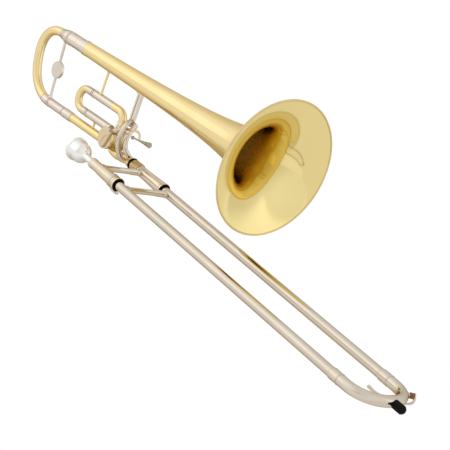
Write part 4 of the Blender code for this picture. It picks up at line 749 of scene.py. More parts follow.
def ribs_tree():
    """Ribs that stand evenly round the x axis, as knurling does."""
    tree = bpy.data.node_groups.new("round_ribs", "GeometryNodeTree")
    for name, kind in (("Count", "NodeSocketInt"), ("Radius", "NodeSocketFloat"), ("Place", "NodeSocketFloat"),
                       ("Rib Length", "NodeSocketFloat"), ("Rib Width", "NodeSocketFloat"),
                       ("Material", "NodeSocketMaterial")):
        node_input(tree, name, kind)
    tree.interface.new_socket(name="Geometry", in_out="OUTPUT", socket_type="NodeSocketGeometry")
    source = tree.nodes.new("NodeGroupInput")
    points = tree.nodes.new("GeometryNodePoints")
    tree.links.new(source.outputs["Count"], points.inputs["Count"])
    index = tree.nodes.new("GeometryNodeInputIndex").outputs["Index"]
    turn = math_node(tree, "DIVIDE", math_node(tree, "MULTIPLY", index, 2 * math.pi), source.outputs["Count"])
    place = tree.nodes.new("ShaderNodeCombineXYZ")
    tree.links.new(source.outputs["Place"], place.inputs["X"])
    tree.links.new(math_node(tree, "MULTIPLY", source.outputs["Radius"], math_node(tree, "COSINE", turn)),
                   place.inputs["Y"])
    tree.links.new(math_node(tree, "MULTIPLY", source.outputs["Radius"], math_node(tree, "SINE", turn)),
                   place.inputs["Z"])
    tree.links.new(place.outputs["Vector"], points.inputs["Position"])
    rib = tree.nodes.new("GeometryNodeMeshCylinder")
    rib.inputs["Vertices"].default_value = 8
    tree.links.new(source.outputs["Rib Width"], rib.inputs["Radius"])
    tree.links.new(source.outputs["Rib Length"], rib.inputs["Depth"])
    lie = tree.nodes.new("GeometryNodeTransform")
    lie.inputs["Rotation"].default_value = (0.0, math.pi / 2, 0.0)
    tree.links.new(rib.outputs["Mesh"], lie.inputs["Geometry"])
    spread = tree.nodes.new("GeometryNodeInstanceOnPoints")
    tree.links.new(points.outputs[0], spread.inputs["Points"])
    tree.links.new(lie.outputs["Geometry"], spread.inputs["Instance"])
    close_tree(tree, spread.outputs["Instances"], source.outputs["Material"])
    return tree


def grown_mesh(name, tree, values):
    """The plain mesh that a Geometry Nodes tree makes with these inputs."""
    holder = bpy.data.objects.new(name, bpy.data.meshes.new(name))
    bpy.context.scene.collection.objects.link(holder)
    modifier = holder.modifiers.new("Grow", "NODES")
    modifier.node_group = tree
    for item in tree.interface.items_tree:
        if item.item_type == "SOCKET" and item.in_out == "INPUT" and item.name in values:
            modifier[item.identifier] = values[item.name]
    graph = bpy.context.evaluated_depsgraph_get()
    mesh = bpy.data.meshes.new_from_object(holder.evaluated_get(graph), depsgraph=graph)
    bpy.data.objects.remove(holder)
    work = bmesh.new()
    work.from_mesh(mesh)
    bpy.data.meshes.remove(mesh)
    if not work.verts:
        raise RuntimeError("the tree " + tree.name + " made nothing")
    return work


# Hand slide


def make_brace(name, x, low_radius, high_radius, body, node):
    """A cross brace with a flared foot at each leg and a ferrule near the bell side."""
    sizes = bpy.context.scene.trombone_slide
    radius, ferrule = sizes.brace_radius, sizes.brace_ferrule
    sink = 1.2 * MM
    foot = 1.4 * MM
    low = -sizes.leg_offset + low_radius - sink
    high = sizes.leg_offset - high_radius + sink
    inside = high - sink - 4.3 * MM
    outside = inside - 12.0 * MM
    profile = [
        (high, 0.0), (high, radius + foot), (high - sink - 1.2 * MM, radius + foot, 0.3 * MM),
        (high - sink - 4.1 * MM, radius, 2.5 * MM), (inside, radius), (inside, ferrule), (outside, ferrule),
        (outside, radius), (low + sink + 4.1 * MM, radius, 2.5 * MM), (low + sink + 1.2 * MM, radius + foot, 0.3 * MM),
        (low, radius + foot), (low, 0.0),
    ]
    work = lathe(eased(profile, 0.25 * MM, closed=False), 48, closed=False)
    return make_piece(name, work, body, SLIDE_NICKEL, [node], at(x) @ along_y())


class TROMBONE_OT_inner_slide(bpy.types.Operator):
    """Builds the half of the hand slide that the left hand holds"""
    bl_idname = "trombone.inner_slide"
    bl_label = "Inner slide"
    bl_options = {"REGISTER", "UNDO"}

    def execute(self, context):
        s = context.scene.trombone_slide
        for side in ("mouthpiece", "bell"):
            suffix = "_" + side + "_side"
            end = s.bow_start - 12.0 * MM
            bore = s.inner_radius - 0.5 * MM
            change = end - s.stocking_length
            tube = [(end, s.stocking_radius), (change, s.stocking_radius), (change - 1.0 * MM, s.inner_radius),
                    (s.barrel_start - 4.0 * MM, s.inner_radius), (s.barrel_start - 4.0 * MM, bore), (end, bore)]
            make_piece("inner_tube" + suffix, lathe(eased(tube, 0.1 * MM, 1), 48), "bell_section", SLIDE_NICKEL,
                       ["inner_tube" + suffix], leg(side))
            lip = 4.4 * MM
            mouth_bore = s.barrel_mouth - 0.5 * MM
            bore = s.outer_radius + 0.6 * MM
            seat = s.inner_radius + 0.3 * MM
            shoulder = s.outer_start - 6.0 * MM
            ring_seat = s.barrel_end - 3.6 * MM
            barrel = [
                (s.barrel_end, s.barrel_mouth, 0.7 * MM), (s.barrel_end - lip * 0.7, s.barrel_mouth, 2.0 * MM),
                (s.barrel_end - lip * 1.5, s.barrel_large, 2.0 * MM), (s.barrel_start, s.barrel_small, 0.35 * MM),
                (s.barrel_start, seat), (shoulder, seat), (shoulder, bore), (ring_seat, bore),
                (ring_seat, mouth_bore), (s.barrel_end, mouth_bore, 0.1 * MM),
            ]
            make_piece("cork_barrel" + suffix, lathe(eased(barrel, 0.2 * MM), 72), "bell_section", BARREL_NICKEL,
                       ["cork_barrel" + suffix], leg(side))
            ring = tube_wall(s.barrel_end - 3.0 * MM, s.barrel_end + 0.3 * MM, mouth_bore - 0.05 * MM,
                             s.outer_radius + 0.25 * MM)
            make_piece("barrel_ring" + suffix, lathe(eased(ring, 0.8 * MM), 64), "bell_section", RUBBER,
                       ["barrel_ring" + suffix], leg(side))
        make_brace("inner_slide_brace", 0.0, s.barrel_small, s.barrel_small, "bell_section", "inner_slide_brace")
        self.make_receiver_end(s)
        self.make_tenon(s)
        self.make_lock(s)
        return {"FINISHED"}

    def make_receiver_end(self, s):
        """The mouthpiece receiver: a plain tapered sleeve with a turned mouth."""
        start = -17.0 * MM
        seat = s.barrel_start - 0.3 * MM
        profile = [(seat, s.barrel_small - 0.4 * MM, 0.35 * MM), (-12.0 * MM, 8.2 * MM), (-12.4 * MM, 8.6 * MM),
                   (start, 8.6 * MM, 0.5 * MM), (start, 6.5 * MM, 0.3 * MM), (2.7 * MM, 5.8 * MM),
                   (2.7 * MM, 6.8 * MM), (seat, 6.8 * MM)]
        make_piece("mouthpiece_receiver", lathe(eased(profile, 0.2 * MM), 64), "bell_section", BARREL_NICKEL,
                   ["mouthpiece_receiver"], leg("mouthpiece"))

    def make_tenon(self, s):
        seat = s.barrel_start - 0.3 * MM
        profile = [(seat, s.barrel_small, 0.35 * MM), (-9.1 * MM, s.barrel_small), (-9.1 * MM, 7.6 * MM),
                   (-18.4 * MM, 7.2 * MM), (-18.4 * MM, 6.1 * MM), (seat, 6.1 * MM)]
        make_piece("slide_tenon", lathe(eased(profile, 0.3 * MM), 64), "bell_section", SLIDE_NICKEL,
                   ["slide_tenon"], leg("bell"))

    def make_lock(self, s):
        """The lock ring on the mouthpiece-side barrel with its nub under the mouth."""
        inner = 10.30 * MM
        outer = inner + 0.6 * MM
        ring = eased(tube_wall(47.0 * MM, 55.0 * MM, outer, inner), 0.5 * MM)
        work = lathe(ring, 64)
        reach = -s.barrel_mouth - 2.2 * MM
        route = smooth_route([(49.5 * MM, 0.0, -outer - 1.0 * MM), (55.0 * MM, 0.0, reach),
                              (67.0 * MM, 0.0, reach), (71.0 * MM, 0.0, reach + 2.0 * MM)], 8)
        merge_into(work, sweep(route, 1.6 * MM, round_section(24), domed=True))
        make_piece("slide_lock_ring", work, "slide_lock", SLIDE_NICKEL, ["slide_lock_ring"], leg("mouthpiece"))


def end_bow_point(angle):
    """A point of the end bow's centre line, a squared half ellipse from the bell side round."""
    s = bpy.context.scene.trombone_slide
    power = 2.0 / s.bow_fullness
    side = math.copysign(abs(math.cos(angle)) ** power, math.cos(angle))
    return Vector((s.bow_start + s.bow_straight + s.bow_depth * abs(math.sin(angle)) ** power,
                   s.leg_offset * side, 0.0))


class TROMBONE_OT_outer_slide(bpy.types.Operator):
    """Builds the moving half of the hand slide with its end bow and bumper"""
    bl_idname = "trombone.outer_slide"
    bl_label = "Outer slide"
    bl_options = {"REGISTER", "UNDO"}

    def execute(self, context):
        s = context.scene.trombone_slide
        for side in ("mouthpiece", "bell"):
            suffix = "_" + side + "_side"
            end = s.bow_start - 0.1 * MM
            tube = tube_wall(s.outer_start, end, s.outer_radius, s.outer_radius - s.outer_wall)
            make_piece("outer_tube" + suffix, lathe(eased(tube, 0.1 * MM, 1), 64), "hand_slide", SLIDE_NICKEL,
                       ["outer_tube" + suffix], leg(side))
            start = s.bow_start - 18.0 * MM
            wide = s.outer_radius + 0.9 * MM
            ferrule = [(end, wide + 0.25 * MM, 0.3 * MM), (end - 1.5 * MM, wide + 0.25 * MM),
                       (end - 1.9 * MM, wide), (start + 0.8 * MM, wide), (start, wide - 0.5 * MM),
                       (start, s.outer_radius + 0.05 * MM), (end, s.outer_radius + 0.05 * MM)]
            make_piece("end_ferrule" + suffix, lathe(eased(ferrule, 0.25 * MM), 64), "hand_slide", SLIDE_NICKEL,
                       ["end_ferrule" + suffix], leg(side))
        make_brace("outer_slide_brace", s.outer_brace, s.outer_radius, s.outer_radius, "hand_slide",
                   "outer_slide_brace")
        self.make_bow(s)
        self.make_bumper(s)
        return {"FINISHED"}

    def make_bow(self, s):
        count = 96
        route = [Vector((s.bow_start, s.leg_offset, 0.0))]
        route += [end_bow_point(math.pi * k / count) for k in range(count + 1)]
        route.append(Vector((s.bow_start, -s.leg_offset, 0.0)))
        make_piece("end_crook", sweep(route, s.bow_radius, round_section(56)), "hand_slide", SLIDE_NICKEL,
                   ["end_crook"])

    def make_bumper(self, s):
        base = s.bow_start + s.bow_straight + s.bow_depth + s.bow_radius
        tip = base + s.bumper_length
        profile = [(tip, 0.0), (tip, s.bumper_radius - 1.7 * MM, 0.8 * MM), (tip - 2.6 * MM, s.bumper_radius, 1.6 * MM),
                   (base - 2.4 * MM, s.bumper_radius), (base - 2.4 * MM, 0.0)]
        make_piece("rubber_bumper", lathe(eased(profile, 0.5 * MM, 5, closed=False), 48, closed=False),
                   "hand_slide", RUBBER, ["rubber_bumper"], at(0.0, 4.0 * MM, 0.0))


class TROMBONE_OT_water_key(bpy.types.Operator):
    """Builds the water key on the end bow"""
    bl_idname = "trombone.water_key"
    bl_label = "Water key"
    bl_options = {"REGISTER", "UNDO"}

    def execute(self, context):
        s = context.scene.trombone_slide
        angle = math.radians(26.0)
        full = s.bow_fullness
        power = full / (full - 1.0)
        size = ((s.bow_depth * math.sin(angle)) ** power + (s.leg_offset * math.cos(angle)) ** power) ** (1 / full)
        x = s.bow_depth * (s.bow_depth * math.sin(angle)) ** (power - 1) / size
        y = s.leg_offset * (s.leg_offset * math.cos(angle)) ** (power - 1) / size
        drop = 4.2 * MM
        lift = s.bow_radius + drop
        place = at(s.bow_start + s.bow_straight + x, y, -lift) @ Matrix.Rotation(math.pi / 2 - angle, 4, "Z")
        nipple = s.bow_radius + 3.0 * MM
        spout = [(nipple, 1.5 * MM), (nipple, 2.8 * MM, 0.3 * MM), (nipple - 1.0 * MM, 2.8 * MM),
                 (nipple - 1.6 * MM, 3.4 * MM), (s.bow_radius - 1.5 * MM, 3.8 * MM),
                 (s.bow_radius - 1.5 * MM, 1.5 * MM)]
        make_piece("drain_nipple", lathe(eased(spout, 0.2 * MM), 40), "hand_slide", SLIDE_NICKEL, [],
                   place @ at(0.0, 0.0, lift))
        self.make_saddle(place, drop)
        self.make_screw(place)
        self.make_key(place, lift, nipple)
        return {"FINISHED"}

    def make_saddle(self, place, drop):
        """Two lugs under the bow that hold the key's screw."""
        work = bmesh.new()
        for side in (-1, 1):
            route = [(0.0, side * 4.8 * MM, -2.6 * MM), (0.0, side * 4.8 * MM, drop + 1.4 * MM)]
            merge_into(work, sweep(route, 1.0, soft_box_section(2.6 * MM, 1.0 * MM, 0.6 * MM),
                                   side=(0.0, 1.0, 0.0)))
        bridge = [(0.0, -5.6 * MM, drop + 0.6 * MM), (0.0, 5.6 * MM, drop + 0.6 * MM)]
        merge_into(work, sweep(bridge, 1.0, soft_box_section(1.3 * MM, 3.6 * MM, 0.8 * MM), side=(1.0, 0.0, 0.0)))
        make_piece("water_key_saddle", work, "hand_slide", SLIDE_NICKEL, ["water_key_saddle"], place)

    def make_screw(self, place):
        end = 5.8 * MM
        screw = [(end + 1.4 * MM, 0.0), (end + 1.4 * MM, 2.0 * MM, 0.5 * MM), (end + 0.2 * MM, 2.0 * MM),
                 (end + 0.2 * MM, 1.1 * MM), (-end, 1.1 * MM), (-end, 0.0)]
        make_piece("water_key_screw", lathe(eased(screw, 0.2 * MM, closed=False), 24, closed=False), "hand_slide",
                   STEEL, ["water_key_screw"], place @ along_y())

    def make_key(self, place, lift, nipple):
        cork_end = nipple + 0.1 * MM + 5.8 * MM
        plate = cork_end + 0.1 * MM
        route = smooth_route([(-44.5 * MM, 0.0, lift - 2.6 * MM), (-34.0 * MM, 0.0, 4.0 * MM),
                              (-18.0 * MM, 0.0, 0.0), (-5.0 * MM, 0.0, -1.0 * MM), (8.0 * MM, 0.0, -1.2 * MM),
                              (plate + 0.6 * MM, 0.0, 1.6 * MM), (plate + 2.9 * MM, 0.0, lift - 5.0 * MM),
                              (plate + 1.4 * MM, 0.0, lift)], 10)
        radii = [1.6 * MM * (1.45 - 0.45 * min(i / 25, 1.0)) for i in range(len(route))]
        work = sweep(route, radii, round_section(24), domed=True)
        barrel = [(-3.5 * MM, 0.0), (-3.5 * MM, 2.6 * MM), (3.5 * MM, 2.6 * MM), (3.5 * MM, 0.0)]
        merge_into(work, lathe(eased(barrel, 0.4 * MM, closed=False), 32, closed=False), along_y())
        dish = [(plate + 1.6 * MM, 0.0), (plate + 1.6 * MM, 4.5 * MM, 0.4 * MM), (plate, 4.5 * MM, 0.4 * MM),
                (plate, 0.0)]
        merge_into(work, lathe(eased(dish, 0.3 * MM, closed=False), 32, closed=False), at(0.0, 0.0, lift))
        make_piece("water_key_lever", work, "water_key", SLIDE_NICKEL, ["water_key_lever"], place)
        cork = [(cork_end, 0.0), (cork_end, 4.0 * MM, 0.3 * MM), (nipple + 0.1 * MM, 4.0 * MM, 0.6 * MM),
                (nipple + 0.1 * MM, 0.0)]
        make_piece("water_key_cork", lathe(eased(cork, 0.3 * MM, closed=False), 32, closed=False), "water_key",
                   CORK, ["water_key_cork"], place @ at(0.0, 0.0, lift))


class TROMBONE_OT_mouthpiece(bpy.types.Operator):
    """Builds the mouthpiece"""
    bl_idname = "trombone.mouthpiece"
    bl_label = "Mouthpiece"
    bl_options = {"REGISTER", "UNDO"}

    def execute(self, context):
        m = context.scene.trombone_mouthpiece
        rim = m.tip - m.whole
        r = m.rim_radius
        middle = rim + m.bowl_middle
        bowl = m.bowl_radius
        neck = middle + math.sqrt(bowl ** 2 - (6.6 * MM) ** 2)
        body = [(m.tip, 5.3 * MM), (-16.0 * MM, 6.2 * MM), (-17.6 * MM, 6.15 * MM), (neck + 7.0 * MM, 5.7 * MM),
                (neck + 4.2 * MM, 5.8 * MM), (neck + 3.9 * MM, 6.5 * MM), (neck + 2.4 * MM, 6.6 * MM),
                (neck + 2.1 * MM, 6.1 * MM), (neck + 0.8 * MM, 6.2 * MM)]
        for k in range(18):
            angle = math.asin(6.6 * MM / bowl) + (math.pi / 2 - math.asin(6.6 * MM / bowl)) * k / 17
            body.append((middle + bowl * math.cos(angle), bowl * math.sin(angle)))
        body += [(rim + 9.0 * MM, bowl + 0.25 * MM), (rim + 7.0 * MM, bowl + 0.55 * MM)]
        edge = [(rim + 7.0 * MM, bowl + 0.6 * MM), (rim + 5.5 * MM, bowl + 1.2 * MM), (rim + 5.0 * MM, r - 0.2 * MM),
                (rim + 3.6 * MM, r + 0.02 * MM), (rim + 2.0 * MM, r), (rim + 0.8 * MM, r - 0.7 * MM),
                (rim + 0.1 * MM, r - 2.2 * MM), (rim, r - 3.8 * MM)]
        body += [tuple(p) for p in smooth_route(edge, 5)]
        cup = [(rim + 0.3 * MM, m.cup_radius + 1.2 * MM), (rim + 2.0 * MM, m.cup_radius)]
        for k in range(1, 17):
            share = k / 16
            cup.append((rim + 2.0 * MM + (m.cup_depth - 2.0 * MM) * share,
                        m.throat_radius + (m.cup_radius - m.throat_radius)
                        * math.sqrt(max(0.0, 1.0 - share ** 2.2))))
        cup += [(rim + m.cup_depth + 8.0 * MM, m.throat_radius + 0.1 * MM), (m.tip, 4.6 * MM)]
        make_piece("mouthpiece", lathe(body + cup, 112), "mouthpiece_body", SILVER, ["mouthpiece"],
                   leg("mouthpiece"))
        return {"FINISHED"}


# Bell section


class TROMBONE_OT_bell(bpy.types.Operator):
    """Builds the bell by the horn law, with its rolled rim"""
    bl_idname = "trombone.bell"
    bl_label = "Bell"
    bl_options = {"REGISTER", "UNDO"}

    def execute(self, context):
        b = context.scene.trombone_bell
        place = bell_axes() @ at(0.0, 0.0, b.height)
        work = grown_mesh("bell_blank", flare_tree(), {
            "Rim Place": b.rim_place, "Tail Place": b.tail, "Rim Radius": b.rim_radius,
            "Flare Offset": b.flare_offset, "Flare Power": b.flare_power, "Stations": b.stations,
            "Sides": b.sides, "Material": finish_material(GOLD),
        })
        work.transform(place)
        bmesh.ops.recalc_face_normals(work, faces=work.faces)
        mesh = bpy.data.meshes.new("bell")
        work.to_mesh(mesh)
        work.free()
        bell = bpy.data.objects.new("bell", mesh)
        context.scene.collection.objects.link(bell)
        wall = bell.modifiers.new("Wall", "SOLIDIFY")
        wall.thickness = b.wall
        wall.offset = -1.0
        graph = context.evaluated_depsgraph_get()
        solid = bpy.data.meshes.new_from_object(bell.evaluated_get(graph), depsgraph=graph)
        bell.modifiers.clear()
        bell.data = solid
        finish_piece(bell, "bell_section", GOLD, ["bell"])
        solid.materials.append(bell_inside_material())
        axis_start, along = place.translation, place.to_3x3() @ Vector((1.0, 0.0, 0.0))
        for polygon in solid.polygons:
            arm = polygon.center - axis_start
            outward = arm - along * arm.dot(along)
            if polygon.normal.dot(outward) < 0.0:
                polygon.material_index = 1
        bead = []
        for k in range(20):
            angle = 2 * math.pi * k / 20
            bead.append((b.rim_place - 0.3 * MM + b.bead_radius * math.cos(angle),
                         b.rim_radius + b.bead_radius * math.sin(angle)))
        make_piece("bell_rim_bead", lathe(bead, b.sides), "bell_section", RIM_BRASS, [], place)
        return {"FINISHED"}


def tuning_bow_point(angle):
    """A point of the tuning bow's centre line, from the top round to the foot."""
    t = bpy.context.scene.trombone_tuning
    height = bpy.context.scene.trombone_bell.height
    power = 2.0 / t.bow_fullness
    side = math.copysign(abs(math.cos(angle)) ** power, math.cos(angle))
    z = height / 2 * (1 + side)
    chord = t.bow_foot + (t.bow_top - t.bow_foot) * z / height
    return Vector((chord - t.bow_depth * abs(math.sin(angle)) ** power, 0.0, z))


class TROMBONE_OT_tuning_slide(bpy.types.Operator):
    """Builds the main tuning slide and the two sleeves that it runs in"""
    bl_idname = "trombone.tuning_slide"
    bl_label = "Tuning slide"
    bl_options = {"REGISTER", "UNDO"}

    def execute(self, context):
        t = context.scene.trombone_tuning
        height = context.scene.trombone_bell.height
        axes = bell_axes()
        top = axes @ at(0.0, 0.0, height)
        self.make_sleeves(t, axes, top)
        count = 160
        points = [tuning_bow_point(math.pi * k / count) for k in range(1, count)]
        split = next(i for i, p in enumerate(points) if i > count // 2 and p.x > t.bow_seam)
        bow = [Vector((t.bow_top + 0.3 * MM, 0.0, height))] + points[:split]
        make_piece("tuning_bow", sweep(bow, t.bow_radius, round_section(56)), "tuning_slide", GOLD,
                   ["tuning_bow"], axes)
        low = t.lower_leg + 1.2 * MM
        ferrule = points[split:] + [Vector((t.sleeve_start - 1.1 * MM, 0.0, 0.0))]
        ferrule = [p for i, p in enumerate(ferrule) if i == len(ferrule) - 1 or p.x < t.sleeve_start - 3.0 * MM]
        make_piece("lower_bow_ferrule", sweep(ferrule, low, round_section(56)), "tuning_slide", NICKEL,
                   ["lower_bow_ferrule"], axes)
        self.make_upper_ferrule(t, top)
        self.make_legs(t, axes, top)
        self.make_brace(t, axes, height, low)
        return {"FINISHED"}

    def make_sleeves(self, t, axes, top):
        outer = t.upper_leg + 1.4 * MM
        ring = outer + 0.6 * MM
        bore = t.upper_leg + 0.1 * MM
        band = bell_radius(t.sleeve_end) + 1.0 * MM
        start = t.sleeve_start
        profile = [(t.sleeve_end, band, 0.3 * MM), (2.7 * MM, band), (1.2 * MM, outer, 0.6 * MM)]
        profile += groove(-16.0 * MM, outer, 0.2 * MM)
        profile += groove(start + 3.2 * MM, outer)
        profile += [(start + 2.3 * MM, ring), (start + 0.1 * MM, ring, 0.5 * MM),
                   (start, outer - 0.3 * MM), (start, bore), (t.sleeve_end, bell_radius(t.sleeve_end) + 0.05 * MM)]
        make_piece("upper_tuning_sleeve", lathe(eased(profile, 0.3 * MM), 72), "bell_section", NICKEL,
                   ["upper_tuning_sleeve"], top)
        outer = t.lower_leg + 1.0 * MM
        ring = outer + 0.6 * MM
        neck = 8.3 * MM
        profile = [(27.9 * MM, neck, 0.3 * MM), (6.0 * MM, neck), (5.6 * MM, ring), (3.4 * MM, ring)]
        profile += groove(2.4 * MM, outer)
        profile += groove(start + 3.2 * MM, outer)
        profile += [(start + 2.3 * MM, ring), (start + 0.1 * MM, ring, 0.5 * MM), (start, outer - 0.3 * MM),
                   (start, t.lower_leg + 0.1 * MM), (27.9 * MM, t.lower_leg + 0.1 * MM)]
        make_piece("lower_tuning_sleeve", lathe(eased(profile, 0.3 * MM), 72), "bell_section", NICKEL,
                   ["lower_tuning_sleeve"], axes)
        # Dark rings at the sleeves' mouths: tarnished metal, and painted shadow of the gaps
        make_seams("tuning_seams", (
            (top, start - 0.9 * MM, 0.8 * MM, t.upper_leg + 0.15 * MM, t.upper_leg + 1.35 * MM),
            (axes, start - 0.9 * MM, 0.8 * MM, t.lower_leg + 0.15 * MM, outer),
            (axes, 1.7 * MM, 1.4 * MM, outer - 0.8 * MM, outer + 0.1 * MM)))

    def make_upper_ferrule(self, t, top):
        start = t.bow_top + 0.2 * MM
        end = t.sleeve_start - 1.1 * MM
        wide = t.upper_leg + 1.3 * MM
        narrow = t.bow_radius + 0.35 * MM
        profile = [(end, wide, 0.3 * MM), (end - 7.0 * MM, wide, 20.0 * MM),
                   (start + 3.0 * MM, narrow + 0.35 * MM, 20.0 * MM),
                   (start, narrow, 0.3 * MM), (start, t.bow_radius - 0.8 * MM), (end, t.bow_radius - 0.8 * MM)]
        make_piece("upper_bow_ferrule", lathe(eased(profile, 0.3 * MM, 6), 72), "tuning_slide", NICKEL,
                   ["upper_bow_ferrule"], top)

    def make_legs(self, t, axes, top):
        for name, radius, place in (("upper", t.upper_leg, top), ("lower", t.lower_leg, axes)):
            wall = tube_wall(t.sleeve_start - 7.0 * MM, t.sleeve_start + t.leg_insertion, radius, radius - 0.6 * MM)
            make_piece(name + "_inner_leg", lathe(eased(wall, 0.1 * MM, 1), 56), "tuning_slide", STEEL,
                       [name + "_inner_leg"], place)

    def make_brace(self, t, axes, height, low):
        foot = Vector((-47.0 * MM, 0.0, low - 1.2 * MM))
        head = Vector((-55.2 * MM, 0.0, height - t.bow_radius - 0.4 * MM))
        shares = (0.0, 0.012, 0.03, 0.05, 0.5, 0.95, 0.97, 0.988, 1.0)
        extra = (1.6, 1.4, 0.7, 0.0, 0.0, 0.0, 0.7, 1.4, 1.6)
        route = [foot.lerp(head, share) for share in shares]
        work = sweep(route, [t.brace_radius + grow * MM for grow in extra], round_section(32), side=(0, 1, 0))
        half = t.plate_thickness / 2
        disc = [(half, 0.0), (half, t.plate_radius, 0.7 * MM), (-half, t.plate_radius, 0.7 * MM), (-half, 0.0)]
        merge_into(work, lathe(eased(disc, 0.7 * MM, 5, closed=False), 96, closed=False),
                   Matrix.Translation(foot.lerp(head, 0.49)) @ along_y())
        make_piece("tuning_brace", work, "tuning_slide", NICKEL, ["tuning_brace"], axes)


def foot_brace(name, x, low, high, radius, foot, finish, body, node):
    """An upright round brace between two tubes, with a flared foot at each end."""
    span = high - low
    shares = (0.0, 0.8 * MM / span, 1.6 * MM / span, 3.0 * MM / span)
    stations = list(shares) + [1.0 - share for share in shares[::-1]]
    grows = (1.0, 0.75, 0.3, 0.0, 0.0, 0.3, 0.75, 1.0)
    route = [(x, 0.0, low + span * share) for share in stations]
    make_piece(name, sweep(route, [radius + foot * grow for grow in grows], round_section(32), side=(0, 1, 0)),
               body, finish, [node], bell_axes())


